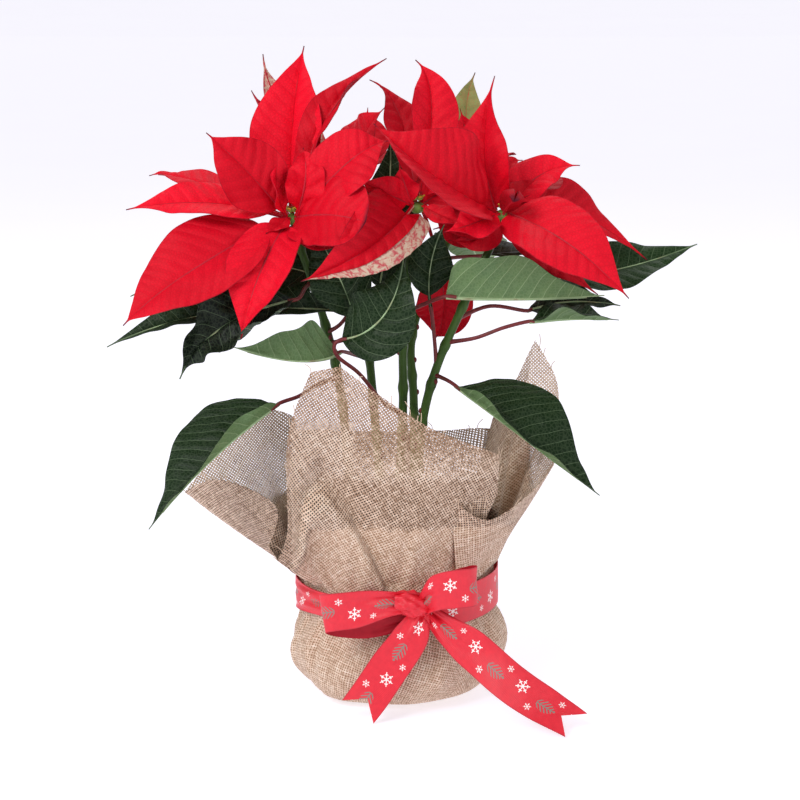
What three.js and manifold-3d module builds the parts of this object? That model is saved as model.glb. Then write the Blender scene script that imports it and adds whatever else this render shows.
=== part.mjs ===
// A potted poinsettia in a tied burlap wrap. Millimetres, +Z up. The origin is the middle of the flat
// underside that it stands on, on the pot's axis. -Y is the front.
import * as THREE from "three";
import { mergeVertices } from "three/addons/utils/BufferGeometryUtils.js";
import Module from "manifold-3d";

const wasm = await Module();
wasm.setup();

// ---------------------------------------------------------------- driving dimensions

const gap = 0.3; // left between pieces that rest on each other

const cloth = {
  thickness: 1.2,
  flatRadius: 40, // the disc under the pot
  heelRadius: 46, // where the cloth leaves the ground
  waistRadius: 62.5,
  waistHeight: 65.5,
  waistTilt: 3.5, // the waist is higher on the right than on the left
  bandHalf: 13,
  pleat: 2.5,
};
const pot = {
  height: 120,
  bottomRadius: 45,
  topRadius: 57,
  rimRadius: 59.5,
  rimHeight: 11,
  wall: 1.8,
  floor: 2,
};
const soilTop = 108;
const stemRadius = 3.2;
const leafThickness = 0.8;
const petioleRadius = 1.4;
const hubRadius = 5.6;
const ribbon = { width: 25, thickness: 0.8, bandRadius: 66.7 };

const colours = {
  pot: "#8a4b32",
  soil: "#3b2a20",
  burlap: "#c3a27c",
  ribbon: "#e0222f",
  stem: "#4f7a36",
  leaf: "#2a4a2f",
  bract: "#dd1428",
  cyathia: "#8aa83c",
};

const vec = (p) => new THREE.Vector3(...p);
const radians = THREE.MathUtils.degToRad;

// ---------------------------------------------------------------- solids

function solidOf(geometry) {
  const bare = geometry.clone();
  bare.deleteAttribute("normal");
  bare.deleteAttribute("uv");
  const merged = mergeVertices(bare, 1e-4);
  return new wasm.Manifold(
    new wasm.Mesh({
      numProp: 3,
      vertProperties: merged.getAttribute("position").array,
      triVerts: new Uint32Array(merged.index.array),
    }),
  );
}

function geometryOf(solid) {
  const mesh = solid.getMesh();
  const geometry = new THREE.BufferGeometry();
  geometry.setAttribute("position", new THREE.BufferAttribute(mesh.vertProperties, 3));
  geometry.setIndex(new THREE.BufferAttribute(mesh.triVerts, 1));
  return geometry;
}

// Joins the pieces into one body, and fills any pocket sealed between them.
function fuse(geometries) {
  let whole = solidOf(geometries[0]);
  for (const geometry of geometries.slice(1)) {
    whole = whole.add(solidOf(geometry));
  }
  return wasm.Manifold.compose(whole.decompose().filter((shell) => shell.volume() > 0));
}

// Gives a sheet of triangles its thickness, half to each side, and closes its edges. Both faces are
// split alike, so that a waved sheet never crosses itself.
function thicken(points, triangles, thickness) {
  const normals = points.map(() => new THREE.Vector3());
  for (const [a, b, c] of triangles) {
    const edge = points[b].clone().sub(points[a]);
    const normal = edge.cross(points[c].clone().sub(points[a]));
    for (const corner of [a, b, c]) normals[corner].add(normal);
  }
  const count = points.length;
  const positions = new Float32Array(count * 6);
  points.forEach((point, i) => {
    const half = normals[i].normalize().multiplyScalar(thickness / 2);
    point.clone().add(half).toArray(positions, i * 3);
    point.clone().sub(half).toArray(positions, (count + i) * 3);
  });
  const index = [];
  const used = new Set();
  for (const [a, b, c] of triangles) {
    index.push(a, b, c, count + a, count + c, count + b);
    used.add(`${a},${b}`).add(`${b},${c}`).add(`${c},${a}`);
  }
  for (const edge of used) {
    const [a, b] = edge.split(",").map(Number);
    if (used.has(`${b},${a}`)) continue;
    index.push(b, a, count + a, b, count + a, count + b);
  }
  const geometry = new THREE.BufferGeometry();
  geometry.setAttribute("position", new THREE.BufferAttribute(positions, 3));
  geometry.setIndex(index);
  return geometry;
}

// A grid of rows of points as a thick sheet. A row may have fewer points than its neighbours: a row
// of one point is a pole or a tip. loop joins each row's end to its start.
function sheetOf(rows, thickness, loop = false) {
  const points = rows.flat();
  const start = [];
  rows.reduce((sum, row) => (start.push(sum), sum + row.length), 0);
  const columns = Math.max(...rows.map((row) => row.length));
  const at = (i, j) => start[i] + Math.round(((j % columns) * (rows[i].length - 1)) / (columns - 1));
  const triangles = [];
  for (let i = 0; i + 1 < rows.length; i++) {
    for (let j = 0; j < (loop ? columns : columns - 1); j++) {
      const [a, b, c, d] = [at(i, j), at(i + 1, j), at(i + 1, j + 1), at(i, j + 1)];
      if (b !== c) triangles.push([a, b, c]);
      if (a !== d) triangles.push([a, c, d]);
    }
  }
  return thicken(points, triangles, thickness);
}

// A rod of even thickness along a smooth curve through the points.
function rod(points, radius, sides = 6, stepsPerPoint = 3) {
  const outline = new THREE.Shape();
  for (let k = 0; k < sides; k++) {
    const turn = (2 * Math.PI * k) / sides;
    const corner = [radius * Math.cos(turn), radius * Math.sin(turn)];
    if (k === 0) outline.moveTo(...corner);
    else outline.lineTo(...corner);
  }
  const curve = new THREE.CatmullRomCurve3(points.map(vec));
  const steps = (points.length - 1) * stepsPerPoint;
  return new THREE.ExtrudeGeometry(outline, { steps, bevelEnabled: false, extrudePath: curve });
}

// A profile of [radius, height] pairs turned round the Z axis.
function turned(profile, segments) {
  const points = profile.map(([radius, height]) => new THREE.Vector2(radius, height));
  return new THREE.LatheGeometry(points, segments).rotateX(Math.PI / 2);
}

// ---------------------------------------------------------------- blades: bracts and leaves

// Each row of a blade's grid as its share of the length and its places across: one at the root and
// at the tip, three where it is narrow and five where it is wide. A small blade has fewer.
const single = [0];
const narrow = [-1, 0, 1];
const broad = [-1, -0.55, 0, 0.55, 1];
const bladeRows = [
  [0, single],
  [0.13, narrow],
  [0.3, broad],
  [0.48, broad],
  [0.66, broad],
  [0.84, narrow],
  [1, single],
];
const smallBladeRows = [
  [0, single],
  [0.16, narrow],
  [0.46, narrow],
  [0.76, narrow],
  [1, single],
];
const smallHalf = 13.5;
const stalkHalf = 1.3;
const crease = 0.55; // the share of a half's width where its cross-section bends

// Rises from 0 to a level 1. A low power makes it round, and a high one draws it out.
const swell = (x, power) => Math.pow(x, power) * (1 + power - power * x);

// How wide a half blade is along its length, from 0 to 1.
function outline(blade, t) {
  const s = (t - blade.stalk) / (1 - blade.stalk);
  if (s <= 0) return 0;
  if (s < blade.widest) return swell(s / blade.widest, blade.base);
  return swell((1 - s) / (1 - blade.widest), blade.taper);
}

// A blade runs from root through via to tip. face is the way its upper side looks, and faceTip the
// same at the tip. fold holds the slopes in degrees of the left half's inner and outer strip and of
// the right half's, up towards the upper side.
function bladeFrame(blade, t) {
  const [root, via, tip] = [vec(blade.root), vec(blade.via), vec(blade.tip)];
  const control = via.clone().multiplyScalar(2).addScaledVector(root, -0.5).addScaledVector(tip, -0.5);
  const curve = new THREE.QuadraticBezierCurve3(root, control, tip);
  const along = curve.getTangent(t);
  const face = vec(blade.face).lerp(vec(blade.faceTip ?? blade.face), t);
  const up = face.addScaledVector(along, -face.dot(along)).normalize();
  return { point: curve.getPoint(t), up, side: up.clone().cross(along) };
}

function bladePoint(blade, t, a) {
  const { point, up, side } = bladeFrame(blade, t);
  const [inner, outer] = a > 0 ? blade.fold.slice(0, 2) : blade.fold.slice(2, 4);
  const widest = blade.half * (a > 0 ? blade.leftShare : 1);
  const half = stalkHalf * (1 - t) + widest * outline(blade, t);
  const near = half * Math.min(Math.abs(a), crease);
  const far = half * Math.max(Math.abs(a) - crease, 0);
  const across = near * Math.cos(radians(inner)) + far * Math.cos(radians(outer));
  const turn = 2 * Math.PI * (blade.waves * t + blade.phase + (a > 0 ? 0.35 : 0));
  const ripple = blade.wave * a * a * Math.sin(turn) * Math.min(1, (half / widest) * 1.5);
  const rise = near * Math.sin(radians(inner)) + far * Math.sin(radians(outer)) + ripple;
  return point.addScaledVector(side, Math.sign(a) * across).addScaledVector(up, rise);
}

function bladeSheet(blade) {
  const grid = blade.half > smallHalf ? bladeRows : smallBladeRows;
  const rows = grid.map(([t, places]) => places.map((a) => bladePoint(blade, t, a)));
  return sheetOf(rows, leafThickness);
}

const bladeDefaults = {
  half: 22,
  leftShare: 1, // the left half's width as a share of the right half's
  stalk: 0.1,
  base: 0.8,
  widest: 0.42,
  taper: 1.45,
  fold: [14, 4, 14, 4],
  wave: 1.5,
  waves: 1.7,
};

// Each blade's ripple starts elsewhere, by a fixed rule.
function completed(blade, number) {
  const phase = (number * 0.618) % 1;
  return { ...bladeDefaults, phase, ...blade };
}

// ---------------------------------------------------------------- stems

const stems = {
  left: [[-28, 2, 60], [-30, 1, 110], [-37, -2, 200], [-52, -7, 262], [-66, -14, 305]],
  middle: [[0, -8, 60], [1, -8, 110], [4, -6, 190], [4, -5, 232], [8, -8, 280], [13, -10, 312]],
  right: [[12, -14, 60], [13, -14, 120], [16, -12, 175], [25, -11, 212], [45, -12, 260], [67, -8, 307]],
  back_left: [[-10, 14, 60], [-10, 14, 110], [-16, 22, 190], [-23, 42, 262], [-26, 66, 322]],
  back_right: [[12, 10, 60], [12, 10, 110], [11, 14, 187], [10, 26, 228], [28, 46, 276], [53, 64, 316]],
};

const headOfStem = (name) => stems[name].at(-1);
const stemRod = (points, radius) => rod(points, radius, 7, 2);

// ---------------------------------------------------------------- bracts

// Every bract's root is the head's hub unless it has its own.
const bracts = {
  left: [
    { tip: [-60, 25, 413], via: [-67, 10, 363], face: [0, -1, 0.35], half: 26, fold: [12, 5, 46, 34] },
    { tip: [-115, -35, 363], via: [-92, -30, 340], face: [0.1, -0.9, 0.4], half: 22 },
    { tip: [-156, 12, 335], via: [-128, 4, 331], face: [0, -0.2, 1], half: 14 },
    { tip: [-165, -34, 318], via: [-119, -26, 321], face: [0, -0.55, 0.85], half: 17 },
    {
      tip: [-167, -55, 250], via: [-128, -52, 281], face: [-0.3, -0.9, 0.35],
      half: 28, stalk: 0.2, widest: 0.27, fold: [22, 12, 8, 0],
    },
    {
      tip: [-95, -65, 244], via: [-84, -55, 281], face: [-0.1, -0.85, 0.45],
      half: 22, stalk: 0.22, widest: 0.36, fold: [12, 40, 12, 6],
    },
    {
      tip: [-9, 8, 407], via: [-46, -4, 369], face: [-0.4, -0.8, 0.5],
      half: 13, fold: [30, 20, 50, 40],
    },
    { tip: [-7, -25, 359], via: [-31, -30, 346], face: [-0.15, -0.85, 0.5], half: 21 },
    {
      tip: [-33, -60, 300], via: [-47, -38, 333], face: [0.1, -0.8, 0.6],
      half: 23, stalk: 0.16, widest: 0.62, taper: 1, fold: [10, -8, 8, 30], wave: 2,
    },
    { tip: [-79, -34, 304], via: [-74, -28, 307], face: [0, -0.5, 0.85], half: 6, wave: 0.5 },
    { tip: [-58, -18, 352], via: [-57, -26, 334], face: [0.2, -1, 0.2], half: 12, wave: 2.5 },
    { tip: [-73, -22, 347], via: [-75, -25, 329], face: [1, -0.4, 0.2], half: 8 },
    { tip: [-28, -46, 299], via: [-50, -38, 299], face: [0, -0.7, 0.7], half: 9, wave: 1 },
    { tip: [-112, 52, 330], via: [-92, 26, 331], face: [0, 0, 1] },
    { tip: [-64, 76, 318], via: [-66, 32, 330], face: [0, 0, 1] },
  ],
  middle: [
    {
      tip: [-56, -58, 277], via: [-17, -46, 295], face: [-0.3, -0.8, 0.6],
      half: 26, fold: [8, 150, 34, 26], wave: 1,
    },
    {
      tip: [14, 24, 405], via: [22, 14, 376], face: [0, -1, 0.4],
      half: 17, taper: 1.9, fold: [50, 44, 8, 0],
    },
    {
      tip: [-15, 30, 393], via: [3, 24, 369], face: [0, -0.5, 0.9],
      half: 12, taper: 2.6, fold: [10, 5, 10, 5],
    },
    { tip: [2, -20, 342], via: [5, -18, 331], face: [-0.4, -0.9, 0.1], half: 9, wave: 2 },
    { tip: [-22, -24, 334], via: [-6, -20, 326], face: [-0.2, -0.9, 0.3], half: 11, wave: 1 },
    {
      tip: [26, 28, 227], via: [30, 18, 262], face: [0.1, -1, 0.2],
      half: 19, stalk: 0.3, widest: 0.5, taper: 1,
    },
    { tip: [42, -28, 308], via: [28, -24, 313], face: [0, -0.6, 0.8], half: 8, wave: 1 },
    { tip: [40, 38, 338], via: [28, 14, 336], face: [0, 0, 1], half: 14 },
    { tip: [62, 14, 290], via: [38, 6, 304], face: [0, -0.9, 0.5], half: 15, stalk: 0.2 },
  ],
  right: [
    {
      tip: [-12, -44, 369], via: [24, -42, 338], face: [0.1, -0.95, 0.3],
      half: 36, widest: 0.36, base: 0.6, fold: [64, 60, 6, -6], wave: 1, waves: 3,
    },
    {
      tip: [61, 4, 395], via: [55, -6, 353], face: [0, -1, 0.25],
      half: 20, taper: 2.2, fold: [10, 4, 50, 44],
    },
    { tip: [114, 10, 341], via: [89, 6, 334], face: [0.1, -0.6, 0.85], half: 15 },
    {
      tip: [161, 26, 280], via: [110, 20, 312], face: [0.3, -0.75, 0.75],
      half: 18, taper: 2.2, wave: 2,
    },
    { tip: [141, -54, 267], via: [106, -46, 298], face: [0.3, -0.9, 0.5], half: 25, widest: 0.38 },
    { tip: [32, -40, 311], via: [50, -34, 314], face: [0, -0.7, 0.7], half: 13, stalk: 0.2, wave: 3 },
    { tip: [34, -18, 294], via: [52, -18, 296], face: [0, -0.9, 0.5], half: 11, stalk: 0.2, wave: 1 },
    { tip: [128, -31, 258], via: [94, -29, 284], face: [0, -0.9, 0.4], half: 7, stalk: 0.2 },
    {
      tip: [82, -38, 318], via: [76, -24, 318], face: [0.4, 0, 1],
      half: 6, fold: [70, 110, 70, 110], wave: 0,
    },
    { tip: [100, 52, 322], via: [86, 22, 326], face: [0, 0, 1] },
  ],
  back_left: [
    { tip: [-89, 80, 406], via: [-73, 82, 368], face: [0.2, 1, 0.2], half: 13, taper: 2.2 },
    { tip: [-95, 66, 383], via: [-74, 68, 360], face: [0.3, 0.8, 0.5], half: 11, taper: 2 },
    { tip: [-10, 36, 374], via: [-22, 46, 354], face: [0, -0.6, 0.9], half: 18 },
    { tip: [-38, 168, 322], via: [-32, 120, 344], face: [0, 0, 1], half: 23 },
    { tip: [-128, 122, 308], via: [-78, 100, 334], face: [0, 0.1, 1], half: 22 },
    { tip: [-2, 154, 324], via: [-8, 112, 342], face: [0, 0, 1], half: 20 },
    { tip: [-20, 96, 370], via: [-22, 84, 352], face: [0, -0.9, 0.4], half: 17 },
  ],
  back_right: [
    { tip: [51, 80, 394], via: [46, 76, 364], face: [0, -1, 0.3], half: 12 },
    { tip: [66, 162, 318], via: [60, 115, 338], face: [0, 0, 1], half: 22 },
    { tip: [130, 102, 298], via: [96, 88, 322], face: [0, 0, 1], half: 21 },
    { tip: [82, 84, 338], via: [72, 78, 334], face: [0.2, -0.8, 0.6], half: 9 },
    { tip: [24, 142, 314], via: [38, 106, 330], face: [0, 0, 1], half: 16 },
    { tip: [42, 46, 372], via: [47, 50, 350], face: [0, -0.9, 0.5], half: 14 },
    { tip: [114, 150, 306], via: [84, 114, 328], face: [0, 0, 1], half: 20 },
  ],
};

const hubHeight = 1.4 * hubRadius;

function hubOf(name) {
  const [x, y, z] = headOfStem(name);
  return [x, y, z + hubRadius + gap];
}

// The receptacle that a head's bracts grow from. Its flat underside sits on the stem's end.
function hubSolid(name) {
  const [x, y, z] = headOfStem(name);
  const profile = [
    [0, 0],
    [0.8 * hubRadius, 0],
    [hubRadius, hubRadius],
    [0.7 * hubRadius, hubHeight],
    [0, hubHeight],
  ];
  return turned(profile, 7).translate(x, y, z + gap);
}

// A bract's root is sunk in the side of the hub that it leaves from.
function bractRoot(name, blade) {
  const hub = vec(hubOf(name));
  const reach = vec(blade.via).sub(hub);
  reach.z *= 0.1;
  return hub.add(reach.setLength(0.78 * hubRadius)).toArray();
}

function bractsOf(name) {
  const blades = bracts[name].map((blade, i) =>
    bladeSheet(completed({ root: bractRoot(name, blade), ...blade }, i)),
  );
  const whole = fuse([hubSolid(name), ...blades]);
  return geometryOf(whole.subtract(solidOf(stemRod(stems[name], stemRadius + gap))));
}

// ---------------------------------------------------------------- cyathia

const budCount = 5;
const budRadius = 2.2;
const budRing = 1.9;

// Small green buds round one in the middle, on top of the hub.
function cyathiaOf(name, turnBy) {
  const [x, y, z] = headOfStem(name);
  const core = [
    [0, 0],
    [2.6, 0],
    [2.8, 3],
    [0, 6],
  ];
  const parts = [turned(core, 6)];
  for (let k = 0; k < budCount; k++) {
    const turn = (2 * Math.PI * k) / budCount + turnBy;
    const bud = new THREE.OctahedronGeometry(budRadius, 0).scale(1, 1, 1.4);
    parts.push(bud.translate(budRing * Math.cos(turn), budRing * Math.sin(turn), 3.6 + (k % 2)));
  }
  return geometryOf(fuse(parts).translate(x, y, z + hubHeight + 2 * gap));
}

// ---------------------------------------------------------------- leaves

// A leaf's stalk leaves its stem at the first point of petiole, which lies on the stem's axis, and
// ends at the blade's root.
const leaves = {
  low_left: {
    stem: "left", petiole: [[-38, -3, 206], [-50, -18, 204], [-62, -32, 199]],
    root: [-74, -46, 197], via: [-114, -74, 168], tip: [-151, -86, 128],
    face: [-0.5, -0.85, 0.5], half: 29, widest: 0.3, fold: [115, 150, 6, -6], stalk: 0.02,
  },
  low_right: {
    stem: "right", petiole: [[24, -11, 209], [32, -20, 207]],
    root: [37, -27, 205], via: [74, -56, 178], tip: [125, -62, 143],
    face: [0.35, -0.9, 0.5], half: 31, widest: 0.48, fold: [10, -8, 115, 150], stalk: 0.04,
  },
  under_right: {
    stem: "middle", petiole: [[5, -6, 248], [14, -16, 254]],
    root: [31, -27, 262], via: [82, -22, 260], tip: [129, -24, 262],
    face: [0, 0.05, 1], half: 27, leftShare: 0.32, widest: 0.3, base: 0.3, fold: [16, 10, 84, 80], stalk: 0,
  },
  far_right: {
    stem: "right", petiole: [[53, -11, 278], [74, 4, 272]],
    root: [95, 12, 267], via: [146, 30, 272], tip: [196, 40, 286],
    face: [0.05, -0.6, 0.8], half: 20, stalk: 0.04,
  },
  curled_right: {
    stem: "right", petiole: [[32, -11.5, 230], [50, -18, 234], [68, -20, 241]],
    root: [84, -20, 245], via: [112, -20, 247], tip: [139, -20, 246],
    face: [0, -0.2, 1], half: 15, fold: [20, 10, 44, 30], stalk: 0.04,
  },
  dark_right: {
    stem: "right", petiole: [[39, -11.5, 246], [60, -2, 252]],
    root: [84, 4, 248], via: [112, 6, 254], tip: [142, 2, 252],
    face: [0, -0.6, 0.8], half: 13, fold: [10, 0, 10, 0], stalk: 0.04,
  },
  centre: {
    stem: "middle",
    petiole: [[3.5, -6, 182], [-8, -16, 191], [-24, -28, 213], [-38, -34, 226], [-39, -36, 233]],
    root: [-35, -36, 236], via: [-9, -46, 252], tip: [4, -40, 286],
    face: [-0.2, -0.95, 0.2], half: 23, widest: 0.45, stalk: 0.02, fold: [14, 0, 14, -4],
  },
  pale_left: {
    stem: "back_left", petiole: [[-19, 28, 212], [-26, 2, 219]],
    root: [-36, -24, 226], via: [-62, -42, 224], tip: [-102, -46, 233],
    face: [0, 0.5, 1], half: 23, widest: 0.36, fold: [82, 74, 40, 30], stalk: 0.03,
  },
  far_left: {
    stem: "left", petiole: [[-45, -4.5, 235], [-36, -12, 242]],
    root: [-31, -17, 251], via: [-114, -24, 251], tip: [-182, -24, 230],
    face: [0, -0.9, 0.5], half: 17, widest: 0.4, fold: [50, 64, 10, 0], stalk: 0.04,
  },
  crumpled_left: {
    stem: "left", petiole: [[-55, -8, 268], [-58, -18, 266]],
    root: [-62, -30, 261], via: [-107, -50, 247], tip: [-134, -54, 216],
    face: [-0.1, -0.8, 0.5], half: 20, fold: [20, 30, 20, 36], wave: 4, waves: 3, stalk: 0.04,
  },
  inner_left: {
    stem: "left", petiole: [[-49, -6, 252], [-44, 4, 256]],
    root: [-38, 10, 264], via: [-100, 12, 277], tip: [-171, 12, 257],
    face: [0, -0.9, 0.5], half: 22, widest: 0.35, stalk: 0.04,
  },
  front_left: {
    stem: "left", petiole: [[-43, -4, 228], [-30, -14, 234]],
    root: [-26, -22, 246], via: [-38, -26, 278], tip: [-52, -28, 304],
    face: [0.1, -1, 0.2], half: 19, stalk: 0.04,
  },
  inner_middle: {
    stem: "back_left", petiole: [[-20, 34, 232], [-14, 32, 244]],
    root: [-12, 32, 256], via: [-6, 28, 304], tip: [-4, 32, 356],
    face: [0, -1, 0.2], half: 21, stalk: 0.04,
  },
  inner_right: {
    stem: "right", petiole: [[25.5, -11, 213], [24, -12, 232]],
    root: [22, -12, 250], via: [21, -13, 277], tip: [29, -14, 304],
    face: [0.1, -0.9, 0.2], half: 14, stalk: 0.2,
  },
  back_left_high: {
    stem: "back_left", petiole: [[-24, 48, 276], [-30, 58, 274]],
    root: [-38, 64, 270], via: [-74, 88, 262], tip: [-110, 110, 236],
    face: [0, 0, 1], half: 24, stalk: 0.04,
  },
  back_middle: {
    stem: "back_left", petiole: [[-25, 58, 300], [-26, 70, 292]],
    root: [-26, 80, 286], via: [-28, 124, 280], tip: [-30, 166, 254],
    face: [0, 0, 1], half: 26, stalk: 0.04,
  },
  back_right_high: {
    stem: "back_right", petiole: [[42, 56, 299], [42, 68, 292]],
    root: [42, 78, 286], via: [52, 120, 276], tip: [60, 158, 252],
    face: [0, 0, 1], half: 25, stalk: 0.04,
  },
  back_far_right: {
    stem: "back_right", petiole: [[28, 46, 276], [42, 56, 276]],
    root: [56, 62, 276], via: [96, 84, 274], tip: [134, 106, 258],
    face: [0, -0.1, 1], half: 22, stalk: 0.04,
  },
  back_low: {
    stem: "back_right", petiole: [[10, 25, 225], [4, 36, 228]],
    root: [0, 46, 232], via: [-6, 82, 232], tip: [-8, 114, 208],
    face: [0, 0.1, 1], half: 22, stalk: 0.04,
  },
};

function leafOf(name, number) {
  const leaf = completed(leaves[name], number);
  const stalkEnd = bladePoint(leaf, 0.06, 0).toArray();
  const petiole = rod([...leaf.petiole, leaf.root, stalkEnd], petioleRadius, 5, 2);
  const whole = fuse([bladeSheet(leaf), petiole]);
  return geometryOf(whole.subtract(solidOf(stemRod(stems[leaf.stem], stemRadius + gap))));
}

// ---------------------------------------------------------------- pot and soil

const potBase = cloth.thickness + gap;

function potWallRadius(height) {
  return pot.bottomRadius + ((pot.topRadius - pot.bottomRadius) * height) / pot.height;
}

function potGeometry() {
  const { height, rimHeight, rimRadius, wall, floor, bottomRadius, topRadius } = pot;
  const underRim = height - rimHeight;
  const profile = [
    [0, 0],
    [bottomRadius, 0],
    [potWallRadius(underRim), underRim],
    [rimRadius, underRim + 1],
    [rimRadius, height],
    [topRadius - wall, height],
    [bottomRadius - wall, floor],
    [0, floor],
  ];
  return turned(profile, 32).translate(0, 0, potBase);
}

function soilGeometry() {
  const { wall, floor } = pot;
  const base = floor + gap;
  const radiusAt = (height) => potWallRadius(height) - wall - 3 * gap;
  const top = soilTop - potBase;
  const profile = [
    [0, base],
    [radiusAt(base), base],
    [radiusAt(top - 3), top - 3],
    [40, top],
    [0, top + 3],
  ];
  let solid = solidOf(turned(profile, 24).translate(0, 0, potBase));
  for (const name of Object.keys(stems)) {
    solid = solid.subtract(solidOf(holeFor(name)));
  }
  return geometryOf(solid);
}

// A plain hole that a stem's foot stands in.
function holeFor(name) {
  const [foot, ...rest] = stems[name];
  const below = [foot[0], foot[1], foot[2] - gap];
  return stemRod([below, ...rest], stemRadius + gap);
}

// ---------------------------------------------------------------- wrap

// The cloth's cut edge, as [foot, x, y, z]: foot is the angle in degrees at which that strand of
// cloth leaves the waist, from +X towards +Y.
const clothEdge = [
  [0, 101, 2, 203],
  [13, 88, 13, 225],
  [28, 80, 28, 196],
  [45, 69, 42, 166],
  [60, 50, 58, 159],
  [75, 24, 72, 153],
  [90, 0, 98, 147],
  [105, -22, 126, 142],
  [120, -48, 100, 148],
  [135, -62, 70, 156],
  [150, -74, 48, 166],
  [165, -88, 33, 176],
  [180, -116, 10, 156],
  [192, -139, -10, 131],
  [202, -117, -31, 144],
  [210, -99, -43, 139],
  [217, -80, -54, 122],
  [225, -75, -62, 152],
  [234, -66, -62, 190],
  [245, -48, -60, 223],
  [258, -20, -63, 211],
  [275, 14, -67, 186],
  [290, 43, -62, 168],
  [300, 52, -54, 142],
  [308, 63, -46, 124],
  [328, 100, -20, 153],
];

// Rows below the waist as [radius, height, share of the waist's tilt, share of the pleat].
const clothBelly = [
  [cloth.flatRadius, 0, 0, 0],
  [cloth.heelRadius, 0, 0, 0],
  [61, 6, 0, 0.2],
  [69.5, 27, 0.2, 0.4],
  [cloth.waistRadius, cloth.waistHeight - cloth.bandHalf, 1, 1],
  [cloth.waistRadius, cloth.waistHeight + cloth.bandHalf, 1, 1],
];
const clothRises = [0.36, 0.7, 1]; // shares of the way from the waist to the edge
const strandsPerPoint = 2;

// Catmull-Rom between the second and third of four values.
function smooth(a, b, c, d, t) {
  const slope = (c - a) * t + (2 * a - 5 * b + 4 * c - d) * t * t + (3 * b - a - 3 * c + d) * t ** 3;
  return b + slope / 2;
}

// The edge at a share of the way round: its foot angle and its place.
function edgeAt(share) {
  const count = clothEdge.length;
  const scaled = share * count;
  const first = Math.floor(scaled);
  const near = [-1, 0, 1, 2].map((step) => {
    const k = first + step;
    const [foot, ...place] = clothEdge[(k + count) % count];
    return [foot + 360 * Math.floor(k / count), ...place];
  });
  const between = (i) => smooth(...near.map((entry) => entry[i]), scaled - first);
  const [foot, x, y, z] = [0, 1, 2, 3].map(between);
  return { foot: radians(foot), place: new THREE.Vector3(x, y, z) };
}

function clothStrand(share, pleat) {
  const { foot, place } = edgeAt(share);
  const out = new THREE.Vector3(Math.cos(foot), Math.sin(foot), 0);
  const rise = cloth.thickness / 2;
  const strand = clothBelly.map(([radius, height, tilt, fold]) =>
    out.clone().multiplyScalar(radius + fold * pleat)
      .setZ(rise + height + tilt * cloth.waistTilt * out.x),
  );
  const waist = strand.at(-1);
  const bend = waist.clone().lerp(place, 0.56).setZ((waist.z + place.z) / 2);
  const curve = new THREE.QuadraticBezierCurve3(waist, bend, place);
  for (const t of clothRises) {
    strand.push(curve.getPoint(t).addScaledVector(out, t * -0.4 * pleat));
  }
  return strand;
}

function wrapGeometry() {
  const count = clothEdge.length * strandsPerPoint;
  const strands = Array.from({ length: count }, (_, k) =>
    clothStrand(k / count, k % 2 ? -cloth.pleat : cloth.pleat),
  );
  const rows = strands[0].map((_, i) => strands.map((strand) => strand[i]).reverse());
  const middle = [new THREE.Vector3(0, 0, cloth.thickness / 2)];
  return sheetOf([middle, ...rows], cloth.thickness, true);
}

// ---------------------------------------------------------------- ribbon

const knot = { place: [16, -70.8, 69], size: [9, 6, 8] };

// A run of ribbon as [x, y, z, half-width vector]. A notch cuts the far end to a fishtail.
function ribbonRun(points, halves, notch = 0, stepsPerPoint = 1.5) {
  const path = new THREE.CatmullRomCurve3(points.map(vec));
  const across = new THREE.CatmullRomCurve3(halves.map(vec));
  const steps = Math.round((points.length - 1) * stepsPerPoint);
  const rows = [];
  for (let i = 0; i <= steps; i++) {
    const t = i / steps;
    const point = path.getPoint(t);
    const half = across.getPoint(t).setLength(ribbon.width / 2);
    const back = path.getTangent(t).multiplyScalar(i === steps ? -notch : 0);
    rows.push([point.clone().sub(half), point.clone().add(back), point.clone().add(half)]);
  }
  return sheetOf(rows, ribbon.thickness);
}

function ribbonBand() {
  const count = 48;
  const ring = (side) =>
    Array.from({ length: count }, (_, k) => {
      const turn = (2 * Math.PI * k) / count;
      const height = cloth.waistHeight + cloth.waistTilt * Math.cos(turn) + (side * ribbon.width) / 2;
      return new THREE.Vector3(
        ribbon.bandRadius * Math.cos(turn),
        ribbon.bandRadius * Math.sin(turn),
        height,
      );
    });
  return sheetOf([ring(1), ring(-1)], ribbon.thickness, true);
}

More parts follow.
